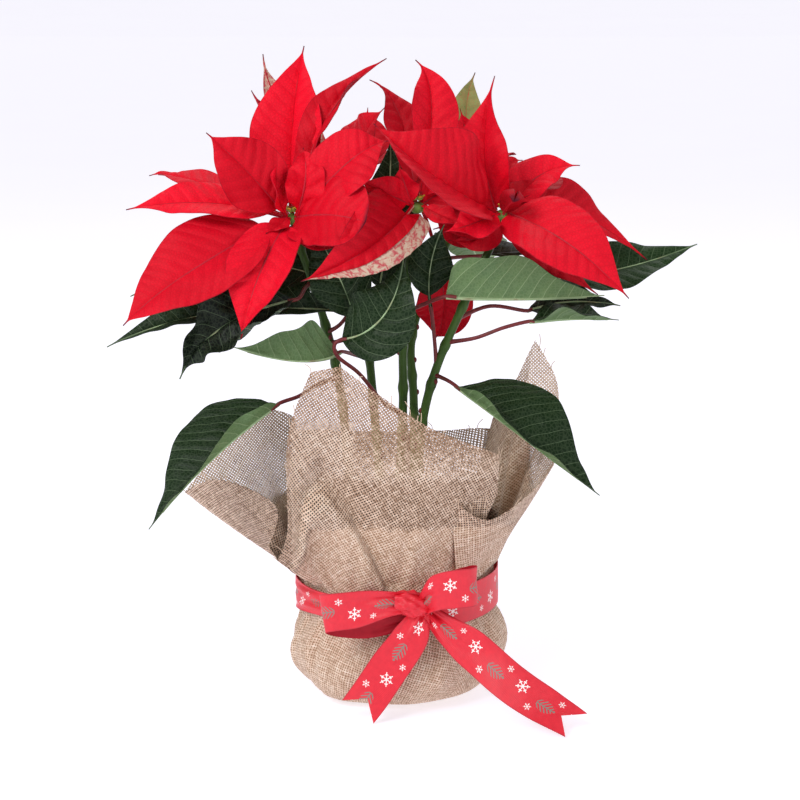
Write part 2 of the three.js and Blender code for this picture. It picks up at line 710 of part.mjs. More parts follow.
function ribbonGeometry() {
  const knotShape = new THREE.SphereGeometry(1, 8, 6).scale(...knot.size).translate(...knot.place);
  const leftLoop = ribbonRun(
    [
      [14, -74, 69], [-8, -80, 69], [-34, -80, 65], [-42, -74, 63],
      [-32, -70.5, 62], [-10, -72, 65], [12, -72, 68],
    ],
    [[0, 0, 1], [0.1, 0, 1], [0.2, 0, 1], [0.25, 0, 1], [0.2, 0, 1], [0.1, 0, 1], [0, 0, 1]],
  );
  const rightLoop = ribbonRun(
    [
      [18, -74, 71], [32, -83, 79], [48, -84, 83], [57, -75, 83],
      [48, -67, 81], [34, -69, 76], [20, -71, 70],
    ],
    [[0, 0, 1], [-0.1, 0, 1], [-0.2, 0, 1], [-0.2, 0, 1], [-0.2, 0, 1], [-0.1, 0, 1], [0, 0, 1]],
  );
  const leftTail = ribbonRun(
    [[14, -73, 66], [3, -78, 50], [-10, -81, 32], [-19, -81, 17], [-25, -79, 6]],
    [[0.85, 0, -0.5], [0.85, 0, -0.5], [0.85, -0.1, -0.5], [0.85, -0.35, -0.5], [0.8, -0.5, -0.4]],
    8,
  );
  const rightTail = ribbonRun(
    [[20, -73, 66], [42, -81, 55], [65, -87, 40], [90, -95, 20], [112, -102, 6]],
    [[0.5, 0, 0.85], [0.5, 0, 0.85], [0.5, 0.1, 0.85], [0.55, 0.4, 0.6], [0.6, 0.75, 0.36]],
    8,
  );
  return geometryOf(fuse([ribbonBand(), knotShape, leftLoop, rightLoop, leftTail, rightTail]));
}

// ---------------------------------------------------------------- assembly

const part = new THREE.Group();

function place(name, geometry, color, roughness = 0.7) {
  const material = new THREE.MeshStandardMaterial({ color, roughness, metalness: 0 });
  const mesh = new THREE.Mesh(geometry, material);
  mesh.name = name;
  part.add(mesh);
}

place("pot", potGeometry(), colours.pot, 0.5);
place("soil", soilGeometry(), colours.soil, 0.95);
place("wrap", wrapGeometry(), colours.burlap, 0.9);
place("ribbon", ribbonGeometry(), colours.ribbon, 0.45);
Object.keys(stems).forEach((name, i) => {
  place(`stem_${name}`, stemRod(stems[name], stemRadius), colours.stem);
  place(`bracts_${name}`, bractsOf(name), colours.bract, 0.55);
  place(`cyathia_${name}`, cyathiaOf(name, i), colours.cyathia, 0.6);
});
Object.keys(leaves).forEach((name, i) => {
  place(`leaf_${name}`, leafOf(name, i), colours.leaf, 0.5);
});

export default part;
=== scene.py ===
# A red poinsettia in its nursery pot, wrapped in burlap and tied with a ribbon bow.
# Metres, +Z up, the front is towards -Y. Tables are in millimetres.
import bpy
import math
import random
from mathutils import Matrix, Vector, noise


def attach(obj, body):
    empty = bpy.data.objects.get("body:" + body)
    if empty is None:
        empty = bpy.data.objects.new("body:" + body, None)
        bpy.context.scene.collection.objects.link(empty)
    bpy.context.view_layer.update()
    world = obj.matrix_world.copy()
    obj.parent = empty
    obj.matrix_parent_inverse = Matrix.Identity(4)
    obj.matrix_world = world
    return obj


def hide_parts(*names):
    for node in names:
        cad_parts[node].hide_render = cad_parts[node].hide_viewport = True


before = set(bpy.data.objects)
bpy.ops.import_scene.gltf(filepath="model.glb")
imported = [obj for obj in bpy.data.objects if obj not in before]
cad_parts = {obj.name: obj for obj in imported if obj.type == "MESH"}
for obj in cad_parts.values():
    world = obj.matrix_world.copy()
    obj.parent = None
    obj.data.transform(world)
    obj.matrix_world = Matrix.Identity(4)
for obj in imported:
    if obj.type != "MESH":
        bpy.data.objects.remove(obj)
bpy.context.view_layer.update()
bpy.ops.object.select_all(action="DESELECT")
random.seed(7)
mm = 0.001

view = dict(place=(2, -1300.4, 454.6), pitch=11.5, lens=92)
bpy.ops.object.camera_add(
    location=[c * mm for c in view["place"]], rotation=(math.radians(90 - view["pitch"]), 0, 0)
)
camera = bpy.context.object
camera.data.lens = view["lens"]
camera.data.sensor_width = 36
bpy.context.scene.camera = camera
bpy.context.scene.view_settings.view_transform = "Standard"


def linear(hexColour):
    parts = [int(hexColour[i:i + 2], 16) / 255 for i in (1, 3, 5)]
    return [p / 12.92 if p <= 0.04045 else ((p + 0.055) / 1.055) ** 2.4 for p in parts] + [1]


def addNode(tree, kind, settings, inputs):
    node = tree.nodes.new("ShaderNode" + kind)
    for key, value in settings.items():
        setattr(node, key, value)
    for key, value in inputs.items():
        socket = node.inputs[key]
        if isinstance(value, bpy.types.Node):
            tree.links.new(value.outputs[0], socket)
        elif isinstance(value, bpy.types.NodeSocket):
            tree.links.new(value, socket)
        else:
            socket.default_value = linear(value) if isinstance(value, str) else value
    return node


def newMaterial(name, fixed):
    material = bpy.data.materials.new(name)
    material.use_nodes = True
    shader = material.node_tree.nodes["Principled BSDF"]
    for key, value in fixed.items():
        shader.inputs[key].default_value = linear(value) if isinstance(value, str) else value
    return material, material.node_tree, shader


def connect(tree, shader, links):
    for key, source in links.items():
        tree.links.new(source.outputs[0] if isinstance(source, bpy.types.Node) else source, shader.inputs[key])


# A grid primitive whose points go where place(x, y) says, for x and y from -1 to 1. place gives the
# point in millimetres, the flat place on the sheet in millimetres, and four shares for the material.
def shapedGrid(name, columns, rows, place):
    bpy.ops.mesh.primitive_grid_add(x_subdivisions=columns, y_subdivisions=rows, size=2)
    piece = bpy.context.object
    piece.name = name
    mesh = piece.data
    shares = mesh.color_attributes.new("share", "FLOAT_COLOR", "POINT")
    flat = []
    for vertex in mesh.vertices:
        point, flatPlace, share = place(vertex.co.x, vertex.co.y)
        vertex.co = Vector(point) * mm
        flat.append((flatPlace[0] * mm, flatPlace[1] * mm))
        shares.data[vertex.index].color = share
    uv = mesh.uv_layers[0].data
    for loop in mesh.loops:
        uv[loop.index].uv = flat[loop.vertex_index]
    return piece


def applyModifier(piece, kind, **settings):
    bpy.context.view_layer.objects.active = piece
    modifier = piece.modifiers.new(kind.title(), kind)
    for key, value in settings.items():
        setattr(modifier, key, value)
    bpy.ops.object.modifier_apply(modifier=modifier.name)


def smoothFaces(piece, angle=60):
    bpy.ops.object.select_all(action="DESELECT")
    piece.select_set(True)
    bpy.context.view_layer.objects.active = piece
    bpy.ops.object.shade_smooth_by_angle(angle=math.radians(angle))


def closeSeams(piece, distance=0.00002):
    bpy.ops.object.select_all(action="DESELECT")
    piece.select_set(True)
    bpy.context.view_layer.objects.active = piece
    bpy.ops.object.mode_set(mode="EDIT")
    bpy.ops.mesh.select_all(action="SELECT")
    bpy.ops.mesh.remove_doubles(threshold=distance)
    bpy.ops.mesh.normals_make_consistent(inside=False)
    bpy.ops.object.mode_set(mode="OBJECT")


def joinPieces(name, pieces):
    bpy.ops.object.select_all(action="DESELECT")
    for piece in pieces:
        piece.select_set(True)
    bpy.context.view_layer.objects.active = pieces[0]
    if len(pieces) > 1:
        bpy.ops.object.join()
    pieces[0].name = name
    return pieces[0]


def handOver(piece, slot, *nodes):
    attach(piece, "root")
    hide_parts(*nodes)


# A smooth curve through the points, with the same number of steps between each two.
def smoothPath(points, steps):
    points = [Vector(p) for p in points]
    points = [2 * points[0] - points[1]] + points + [2 * points[-1] - points[-2]]
    path = []
    for p0, p1, p2, p3 in zip(points, points[1:], points[2:], points[3:]):
        d0, d1, d2 = [max((b - a).length, 1e-4) ** 0.5 for a, b in ((p0, p1), (p1, p2), (p2, p3))]
        m1 = ((p1 - p0) / d0 - (p2 - p0) / (d0 + d1) + (p2 - p1) / d1) * d1
        m2 = ((p2 - p1) / d1 - (p3 - p1) / (d1 + d2) + (p3 - p2) / d2) * d1
        for k in range(steps):
            t = k / steps
            path.append(
                (2 * t**3 - 3 * t**2 + 1) * p1 + (t**3 - 2 * t**2 + t) * m1
                + (3 * t**2 - 2 * t**3) * p2 + (t**3 - t**2) * m2
            )
    return path + [points[-2]]


# A round stalk through the points, in millimetres, with a radius at each.
def stalkAlong(name, points, radii, material, resolution=2):
    bpy.ops.curve.primitive_nurbs_path_add()
    stalk = bpy.context.object
    stalk.name = name
    curve = stalk.data
    curve.splines.clear()
    spline = curve.splines.new("POLY")
    spline.points.add(len(points) - 1)
    for target, point, radius in zip(spline.points, points, radii):
        target.co = (*(Vector(point) * mm), 1)
        target.radius = radius
    curve.dimensions = "3D"
    curve.bevel_depth = mm
    curve.bevel_resolution = resolution
    curve.use_fill_caps = True
    bpy.ops.object.convert(target="MESH")
    stalk = bpy.context.object
    stalk.data.materials.append(material)
    return stalk


def ease(value, low, high):
    t = min(1, max(0, (value - low) / (high - low)))
    return t * t * (3 - 2 * t)


# The line pattern of a blade: a midrib, side veins that lean towards the tip, and a fine network. The
# spacing of the veins and the network's cells are in millimetres.
veins = dict(spacing=8.6, lean=0.55, curve=0.009, cell=2.1)


def bladePattern(tree, sharpness=0.13):
    flat = addNode(tree, "UVMap", {"uv_map": "UVMap"}, {})
    wobble = addNode(tree, "TexNoise", {}, {"Vector": flat, "Scale": 70.0, "Detail": 2.0})
    shift = addNode(tree, "VectorMath", {"operation": "SCALE"}, {0: wobble.outputs["Color"], "Scale": 0.0028})
    moved = addNode(tree, "VectorMath", {"operation": "ADD"}, {0: flat, 1: shift})
    parts = addNode(tree, "SeparateXYZ", {}, {0: moved})
    plain = addNode(tree, "SeparateXYZ", {}, {0: flat})
    across = addNode(tree, "Math", {"operation": "ABSOLUTE"}, {0: plain.outputs["X"]})
    leant = addNode(
        tree, "Math", {"operation": "MULTIPLY_ADD"}, {0: across, 1: veins["curve"] / mm, 2: veins["lean"]}
    )
    back = addNode(tree, "Math", {"operation": "MULTIPLY"}, {0: leant, 1: across})
    start = addNode(tree, "Math", {"operation": "SUBTRACT"}, {0: parts.outputs["Y"], 1: back})
    turn = addNode(tree, "Math", {"operation": "MULTIPLY"}, {0: start, 1: math.pi / (veins["spacing"] * mm)})
    wave = addNode(tree, "Math", {"operation": "SINE"}, {0: turn})
    quilt = addNode(tree, "Math", {"operation": "ABSOLUTE"}, {0: wave})
    side = addNode(tree, "MapRange", {}, {0: quilt, 1: 0.0, 2: sharpness, 3: 1.0, 4: 0.0})
    rib = addNode(tree, "MapRange", {}, {0: across, 1: 0.25 * mm, 2: 0.65 * mm, 3: 1.0, 4: 0.0})
    lines = addNode(tree, "Math", {"operation": "MAXIMUM"}, {0: side, 1: rib})
    cells = addNode(
        tree, "TexVoronoi", {"feature": "DISTANCE_TO_EDGE"},
        {"Vector": moved, "Scale": 1 / (veins["cell"] * mm)},
    )
    network = addNode(tree, "MapRange", {}, {0: cells, 1: 0.0, 2: 0.22, 3: 1.0, 4: 0.0})
    share = addNode(tree, "Attribute", {"attribute_name": "share"}, {})
    split = addNode(tree, "SeparateColor", {}, {0: share.outputs["Color"]})
    relief = addNode(tree, "Math", {"operation": "MULTIPLY_ADD"}, {0: network, 1: -0.25, 2: quilt})
    return dict(
        lines=lines, network=network, relief=relief, flat=flat,
        edge=split.outputs[0], along=split.outputs[1], tone=split.outputs[2], mark=share.outputs["Alpha"],
    )


# Fresh bract, the coloured leaf of a poinsettia: a matt, velvety skin with fine sunken veins, a dark
# rim and a dark drawn-out tip.
def makeBract():
    material, tree, shader = newMaterial("freshBractUpper", {
        "Roughness": 0.56, "IOR": 1.4, "Specular IOR Level": 0.2,
        "Sheen Weight": 0.02, "Sheen Roughness": 0.4, "Sheen Tint": "#ff4a58",
    })
    p = bladePattern(tree)
    patches = addNode(tree, "TexNoise", {}, {"Vector": p["flat"], "Scale": 28.0, "Detail": 3.0})
    # the blade's tone: at random, and painted shade where a table gives a bract a low one
    tones = addNode(tree, "Math", {"operation": "ADD"}, {0: patches, 1: p["tone"]})
    level = addNode(tree, "MapRange", {}, {0: tones, 1: 0.3, 2: 1.5, 3: 0.0, 4: 1.0})
    red = addNode(tree, "Mix", {"data_type": "RGBA"}, {0: level, 6: bract["deep"], 7: bract["bright"]})
    green = addNode(tree, "MapRange", {}, {0: p["mark"], 1: 0.6, 2: 0.9, 3: 0.0, 4: 1.0})
    body = addNode(tree, "Mix", {"data_type": "RGBA"}, {0: green, 6: red.outputs[2], 7: bract["olive"]})
    lineColour = addNode(tree, "Mix", {"data_type": "RGBA"}, {0: green, 6: bract["vein"], 7: "#c2453f"})
    net = addNode(tree, "Math", {"operation": "MULTIPLY"}, {0: p["network"], 1: 0.22})
    lines = addNode(tree, "Math", {"operation": "MULTIPLY"}, {0: p["lines"], 1: 0.34})
    mask = addNode(tree, "Math", {"operation": "MAXIMUM"}, {0: net, 1: lines})
    veined = addNode(
        tree, "Mix", {"data_type": "RGBA"}, {0: mask, 6: body.outputs[2], 7: lineColour.outputs[2]}
    )
    rim = addNode(tree, "MapRange", {}, {0: p["edge"], 1: 0.97, 2: 1.0, 3: 0.0, 4: 0.4})
    tip = addNode(tree, "MapRange", {}, {0: p["along"], 1: 0.94, 2: 1.0, 3: 0.0, 4: 1.0})
    dark = addNode(tree, "Math", {"operation": "MAXIMUM"}, {0: rim, 1: tip})
    final = addNode(tree, "Mix", {"data_type": "RGBA"}, {0: dark, 6: veined.outputs[2], 7: bract["rim"]})
    bump = addNode(tree, "Bump", {}, {"Strength": 0.6, "Distance": 0.0007, "Height": p["relief"]})
    connect(tree, shader, {"Base Color": final.outputs[2], "Normal": bump})
    return material


# The underside of a bract: duller and paler, and on a half-coloured bract cream-green with pink blots.
def makeBractUnder():
    material, tree, shader = newMaterial("freshBractUnder", {
        "Roughness": 0.62, "IOR": 1.4, "Specular IOR Level": 0.2,
        "Sheen Weight": 0.02, "Sheen Roughness": 0.5, "Sheen Tint": "#ff6a78",
    })
    p = bladePattern(tree)
    blots = addNode(
        tree, "TexNoise", {}, {"Vector": p["flat"], "Scale": 330.0, "Detail": 3.0, "Distortion": 1.0}
    )
    blot = addNode(tree, "MapRange", {}, {0: blots, 1: 0.44, 2: 0.6, 3: 0.0, 4: 0.9})
    mottled = addNode(tree, "Mix", {"data_type": "RGBA"}, {0: blot, 6: bract["cream"], 7: bract["pink"]})
    pale = addNode(tree, "MapRange", {}, {0: p["mark"], 1: 0.2, 2: 0.4, 3: 0.0, 4: 1.0})
    body = addNode(tree, "Mix", {"data_type": "RGBA"}, {0: pale, 6: bract["under"], 7: mottled.outputs[2]})
    lines = addNode(tree, "Math", {"operation": "MULTIPLY"}, {0: p["lines"], 1: 0.45})
    veined = addNode(tree, "Mix", {"data_type": "RGBA"}, {0: lines, 6: body.outputs[2], 7: "#c93a48"})
    rim = addNode(tree, "MapRange", {}, {0: p["edge"], 1: 0.96, 2: 1.0, 3: 0.0, 4: 0.6})
    tip = addNode(tree, "MapRange", {}, {0: p["along"], 1: 0.93, 2: 1.0, 3: 0.0, 4: 1.0})
    dark = addNode(tree, "Math", {"operation": "MAXIMUM"}, {0: rim, 1: tip})
    final = addNode(tree, "Mix", {"data_type": "RGBA"}, {0: dark, 6: veined.outputs[2], 7: bract["rim"]})
    bump = addNode(tree, "Bump", {"invert": True}, {"Strength": 0.4, "Distance": 0.0005, "Height": p["relief"]})
    connect(tree, shader, {"Base Color": final.outputs[2], "Normal": bump})
    return material


# Fresh leaf from above: a thin waxy skin over dark green, with pale thread-like veins.
def makeLeaf():
    material, tree, shader = newMaterial("freshLeafUpper", {"IOR": 1.45, "Specular IOR Level": 0.16})
    p = bladePattern(tree, 0.075)
    patches = addNode(tree, "TexNoise", {}, {"Vector": p["flat"], "Scale": 45.0, "Detail": 4.0})
    tones = addNode(tree, "Math", {"operation": "MULTIPLY_ADD"}, {0: patches, 1: 0.6, 2: p["tone"]})
    level = addNode(tree, "MapRange", {}, {0: tones, 1: 0.2, 2: 1.2, 3: 0.0, 4: 1.0})
    green = addNode(tree, "Mix", {"data_type": "RGBA"}, {0: level, 6: leaf["dark"], 7: leaf["fresh"]})
    dry = addNode(tree, "Mix", {"data_type": "RGBA"}, {0: p["mark"], 6: green.outputs[2], 7: leaf["withered"]})
    net = addNode(tree, "Math", {"operation": "MULTIPLY"}, {0: p["network"], 1: 0.1})
    lines = addNode(tree, "Math", {"operation": "MULTIPLY"}, {0: p["lines"], 1: 0.62})
    mask = addNode(tree, "Math", {"operation": "MAXIMUM"}, {0: net, 1: lines})
    final = addNode(tree, "Mix", {"data_type": "RGBA"}, {0: mask, 6: dry.outputs[2], 7: leaf["vein"]})
    sheen = addNode(tree, "MapRange", {}, {0: patches, 1: 0.3, 2: 0.7, 3: 0.34, 4: 0.5})
    bump = addNode(tree, "Bump", {}, {"Strength": 0.5, "Distance": 0.0007, "Height": p["relief"]})
    connect(tree, shader, {"Base Color": final.outputs[2], "Roughness": sheen, "Normal": bump})
    return material


# Fresh leaf from below: matt and grey-green, with raised pale veins.
def makeLeafUnder():
    material, tree, shader = newMaterial("freshLeafUnder", {"Roughness": 0.6, "IOR": 1.4})
    p = bladePattern(tree, 0.11)
    patches = addNode(tree, "TexNoise", {}, {"Vector": p["flat"], "Scale": 60.0, "Detail": 4.0})
    body = addNode(tree, "Mix", {"data_type": "RGBA"}, {0: patches, 6: leaf["under"], 7: leaf["underWarm"]})
    dry = addNode(tree, "Mix", {"data_type": "RGBA"}, {0: p["mark"], 6: body.outputs[2], 7: "#39443c"})
    net = addNode(tree, "Math", {"operation": "MULTIPLY"}, {0: p["network"], 1: 0.12})
    lines = addNode(tree, "Math", {"operation": "MULTIPLY"}, {0: p["lines"], 1: 0.75})
    mask = addNode(tree, "Math", {"operation": "MAXIMUM"}, {0: net, 1: lines})
    final = addNode(tree, "Mix", {"data_type": "RGBA"}, {0: mask, 6: dry.outputs[2], 7: leaf["underVein"]})
    bump = addNode(tree, "Bump", {"invert": True}, {"Strength": 0.6, "Distance": 0.0007, "Height": p["relief"]})
    connect(tree, shader, {"Base Color": final.outputs[2], "Normal": bump})
    return material


# Painted light low on a stem: below a limit, in millimetres, the colour turns pale, as the stems look with
# light coming through the cloth onto them. The limit falls to the right as the cloth's edge does, so the
# stems turn pale where the cloth begins.
paintedLightOnStemFoot = dict(top=185, full=173, fall=0.5, share=0.9)


# Shoots, stalks and ribs: a smooth waxy skin with lengthwise streaks and worn blotches.
def makeShoot(name, low, high, blotch, roughness, base=None):
    material, tree, shader = newMaterial(name, {"Roughness": roughness, "IOR": 1.45, "Specular IOR Level": 0.3})
    place = addNode(tree, "TexCoord", {}, {})
    long = addNode(tree, "Mapping", {}, {0: place.outputs["Object"], "Scale": (420.0, 420.0, 40.0)})
    streaks = addNode(tree, "TexNoise", {}, {"Vector": long, "Scale": 1.0, "Detail": 3.0})
    spots = addNode(tree, "TexNoise", {}, {"Vector": place.outputs["Object"], "Scale": 90.0, "Detail": 4.0})
    body = addNode(tree, "Mix", {"data_type": "RGBA"}, {0: streaks, 6: low, 7: high})
    worn = addNode(tree, "MapRange", {}, {0: spots, 1: 0.52, 2: 0.7, 3: 0.0, 4: 0.6})
    final = addNode(tree, "Mix", {"data_type": "RGBA"}, {0: worn, 6: body.outputs[2], 7: blotch})
    bump = addNode(tree, "Bump", {}, {"Strength": 0.4, "Distance": 0.0004, "Height": streaks})
    # painted light: the stem is made pale low down, where light comes through the cloth onto it
    if base:
        spot = addNode(tree, "SeparateXYZ", {}, {0: place.outputs["Object"]})
        level = addNode(
            tree, "Math", {"operation": "MULTIPLY_ADD"},
            {0: spot.outputs["X"], 1: paintedLightOnStemFoot["fall"], 2: spot.outputs["Z"]},
        )
        paintedLightShare = addNode(
            tree, "MapRange", {},
            {0: level, 1: paintedLightOnStemFoot["top"] * mm, 2: paintedLightOnStemFoot["full"] * mm, 3: 0.0, 4: paintedLightOnStemFoot["share"]},
        )
        final = addNode(tree, "Mix", {"data_type": "RGBA"}, {0: paintedLightShare, 6: final.outputs[2], 7: base})
    connect(tree, shader, {"Base Color": final.outputs[2], "Normal": bump})
    return material


bract = dict(
    deep="#bc0319", bright="#f60c2b", vein="#8f0618", rim="#4a0f20", olive="#8b965a",
    cream="#c9b39a", pink="#b73f4a", under="#a80e20",
)
leaf = dict(
    dark="#051007", fresh="#142e0c", withered="#0f1711", vein="#7f9470", under="#4d6a44",
    underWarm="#64804a", underVein="#a0b587",
)
bractUpper = makeBract()
bractUnder = makeBractUnder()
leafUpper = makeLeaf()
leafUnder = makeLeafUnder()
# the pale colour given last is painted light on the stems' lower ends
shoot = makeShoot("greenShoot", "#284214", "#4c6e28", "#203216", 0.42, "#c9c68c")
petioleSkin = makeShoot("redPetiole", "#5a1c24", "#8a3c3a", "#5a3a2c", 0.4)
bractRib = makeShoot("redMidrib", "#a31226", "#cf2436", "#8a2a2a", 0.5)
leafRib = makeShoot("paleMidrib", "#8fae7c", "#b3c79c", "#8a6a50", 0.5)
hubSkin = makeShoot("headBase", "#4a6a2c", "#7f9c44", "#6b3a2c", 0.5)
print("plant materials made")

# How a blade is shaped. half is half its greatest width and leftShare the left half's share of it, stalk
# the share of its length that is bare, widest where it is widest, base and taper how full it is on
# either side of that. fold holds the slopes in degrees of the left half's inner and outer strip and of
# the right half's, foldTip the same at the tip, and hinge where the one strip turns into the other. wave
# and waves are the height and number of the edge's waves, thread is the drawn-out tip, crumple the size
# of its creases, quilt that of the bulges between veins, tone how bright it is, and mark how far it is
# half-coloured or withered. A low tone that a table gives a bract is painted shade, for a bract that lies
# in the shade of others.
bladeDefaults = dict(
    half=22, leftShare=1, stalk=0.1, base=0.8, widest=0.42, taper=1.45, fold=[14, 4, 14, 4],
    hinge=(0.36, 0.74), wave=2.1, waves=2.1, thread=3, crumple=1.3, quilt=0.75, tone=0.5, mark=0,
)
bladeGrid = dict(across=24, along=64, thickness=0.45, stalkHalf=1.3, steps=40, folds=8)
clearance = 0.3  # left by the frame between pieces that rest on each other


def swell(x, power):
    return x**power * (1 + power - power * x)


def outlineAt(blade, t):
    s = (t - blade["stalk"]) / (1 - blade["stalk"])
    if s <= 0 or s >= 1:
        return 0
    if s < blade["widest"]:
        return swell(s / blade["widest"], blade["base"])
    return swell((1 - s) / (1 - blade["widest"]), blade["taper"])


# The cross-section of half a blade: how far across and up it has come at each step, and its slope.
def sectionOf(inner, outer, hinge):
    across, rise, steps = [0], [0], bladeGrid["steps"]
    slopes = []
    for k in range(steps):
        slope = math.radians(inner + (outer - inner) * ease((k + 0.5) / steps, *hinge))
        slopes.append(slope)
        across.append(across[-1] + math.cos(slope) / steps)
        rise.append(rise[-1] + math.sin(slope) / steps)
    return across, rise, slopes + [slopes[-1]]


# A blade's row of its table with all that follows from it.
def completed(given, number, **defaults):
    blade = {**bladeDefaults, **defaults, "phase": (number * 0.618) % 1, "number": number, **given}
    root, via, tip = [Vector(blade[key]) for key in ("root", "via", "tip")]
    blade["curve"] = (root, via * 2 - root / 2 - tip / 2, tip)
    blade["length"] = (via - root).length + (tip - via).length
    blade["sections"] = []
    for part in ((2, 4), (0, 2)):
        near, far = blade["fold"][slice(*part)], blade.get("foldTip", blade["fold"])[slice(*part)]
        steps = [k / bladeGrid["folds"] for k in range(bladeGrid["folds"] + 1)]
        slopes = [[a + (b - a) * s for a, b in zip(near, far)] for s in steps]
        blade["sections"].append([sectionOf(*pair, blade["hinge"]) for pair in slopes])
    return blade


def spineAt(blade, t):
    root, control, tip = blade["curve"]
    s = min(t, 1)
    along = ((control - root) * (1 - s) + (tip - control) * s).normalized()
    point = root * (1 - s) ** 2 + control * 2 * s * (1 - s) + tip * s**2 + along * (t - s) * blade["length"]
    face = Vector(blade["face"]).lerp(Vector(blade.get("faceTip", blade["face"])), s)
    up = (face - along * face.dot(along)).normalized()
    return point, up, up.cross(along)


# The point of a blade at t along it and a across it, from -1 to 1, and its place on the flat blade.
def bladeAt(blade, t, a):
    point, up, side = spineAt(blade, t)
    left = 1 if a > 0 else 0
    widest = blade["half"] * (blade["leftShare"] if left else 1)
    half = bladeGrid["stalkHalf"] * max(0, 1 - t) + widest * outlineAt(blade, t)
    half = max(half, 0.75 - 0.5 * ease(t, 0.92, 1.05))
    place = abs(a) * bladeGrid["steps"]
    k = min(int(place), bladeGrid["steps"] - 1)
    share = place - k
    bend = ease(t, 0.15, 0.65) * bladeGrid["folds"]
    first = min(int(bend), bladeGrid["folds"] - 1)
    out, lift, slope = 0, 0, 0
    sections = blade["sections"][left][first:]
    for weight, (across, rise, slopes) in zip((first + 1 - bend, bend - first), sections):
        out += weight * half * (across[k] + (across[k + 1] - across[k]) * share)
        lift += weight * half * (rise[k] + (rise[k + 1] - rise[k]) * share)
        slope += weight * slopes[k]
    turn = 2 * math.pi * (blade["waves"] * t + blade["phase"] + (0.35 if left else 0))
    lift += blade["wave"] * a * a * math.sin(turn) * min(1, half / widest * 1.5)
    x, y = half * abs(a), t * blade["length"]
    body = min(1, half / 9)  # the relief fades where the blade is narrow
    start = y - veins["lean"] * x - veins["curve"] * x * x
    puff = blade["quilt"] * (abs(math.sin(math.pi * start / veins["spacing"])) ** 0.6 - 0.5)
    relief = puff * body * ease(x, 0.5, 3) * (1 - ease(abs(a), 0.85, 1))
    relief -= 0.7 * math.exp(-((x / 1.3) ** 2)) * body
    creases = noise.noise(Vector((x / 9 * (1 if left else -1), y / 13, blade["number"] * 3.7)))
    broad = noise.noise(Vector((x / 22 * (1 if left else -1), y / 30, blade["number"] * 5.1 + 9)))
    relief += blade["crumple"] * body * (creases + 1.3 * broad) * (0.35 + 0.65 * abs(a))
    sign = 1 if left else -1
    normal = up * math.cos(slope) - side * sign * math.sin(slope)
    return point + side * sign * out + up * lift + normal * relief, (sign * x, y)


def bladeSheet(name, blade, upper, under):
    reach = 1 + blade["thread"] / blade["length"]

    def place(x, y):
        t = (y + 1) / 2 * reach
        point, flat = bladeAt(blade, t, -x)
        return point, flat, (abs(x), t / reach, blade["tone"], blade["mark"])

    sheet = shapedGrid(name, bladeGrid["across"], bladeGrid["along"], place)
    sheet.data.materials.append(upper)
    sheet.data.materials.append(under)
    applyModifier(
        sheet, "SOLIDIFY", thickness=bladeGrid["thickness"] * mm, offset=0, material_offset=1,
        material_offset_rim=0,
    )
    smoothFaces(sheet)
    return sheet


# The rib under a blade, from its root to near its tip.
def bladeRib(name, blade, thick, thin, material):
    points, radii = [], []
    for k in range(19):
        t = k / 18 * 0.9
        point, up, side = spineAt(blade, t)
        radius = thick + (thin - thick) * (k / 18) ** 0.7
        points.append(point - up * (0.45 * min(1, t * 8) + radius * 0.55))
        radii.append(radius)
    return stalkAlong(name, points, radii, material)


# Stems, from the soil to the flower head.
stemPaths = {
    "left": [[-28, 2, 60], [-30, 1, 110], [-37, -2, 200], [-52, -7, 262], [-66, -14, 305]],
    "middle": [[0, -8, 60], [1, -8, 110], [4, -6, 190], [4, -5, 232], [8, -8, 280], [13, -10, 312]],
    "right": [[12, -14, 60], [13, -14, 120], [16, -12, 175], [25, -11, 212], [45, -12, 260], [67, -8, 307]],
    "back_left": [[-10, 14, 60], [-10, 14, 110], [-16, 22, 190], [-23, 42, 262], [-26, 66, 322]],
    "back_right": [[12, 10, 60], [12, 10, 110], [11, 14, 187], [10, 26, 228], [28, 46, 276], [53, 64, 316]],
}
stemForm = dict(foot=3.5, top=2.7, jointGap=27, jointSwell=0.75, jointLength=3.2)


def makeStem(name):
    path = smoothPath(stemPaths[name], 26)
    gone, points, radii = 0, [], []
    shift = 5 + 4 * (len(name) % 5)
    for before, point in zip([path[0]] + path, path):
        gone += (point - before).length
        share = gone / 260
        near = (gone + shift) % stemForm["jointGap"] - stemForm["jointGap"] / 2
        joint = math.exp(-((near / stemForm["jointLength"]) ** 2))
        radius = stemForm["foot"] + (stemForm["top"] - stemForm["foot"]) * min(1, share)
        points.append(point)
        radii.append(radius - 0.25 + stemForm["jointSwell"] * joint)
    parts = [stalkAlong("stem", points, radii, shoot, 4)]
    for k in range(len(points)):  # scars of fallen leaves, at every joint on alternate sides
        near = (k / len(points) * gone + shift) % stemForm["jointGap"]
        if abs(near - stemForm["jointGap"] / 2) < gone / len(points) / 2 and 40 < points[k].z - 60 < 190:
            turn = 2.4 * k
            side = Vector((math.cos(turn), math.sin(turn), 0)) * (radii[k] - 0.3)
            bpy.ops.mesh.primitive_uv_sphere_add(
                segments=12, ring_count=8, radius=1.7 * mm, location=(points[k] + side) * mm,
                scale=(0.8, 0.8, 1.15),
            )
            bpy.ops.object.transform_apply(location=True, scale=True)
            scar = bpy.context.object
            scar.data.materials.append(petioleSkin)
            parts.append(scar)
    stem = joinPieces(name + "Stem", parts)
    smoothFaces(stem)
    handOver(stem, "stem", "stem_" + name)


for name in stemPaths:
    makeStem(name)
print("stems made")

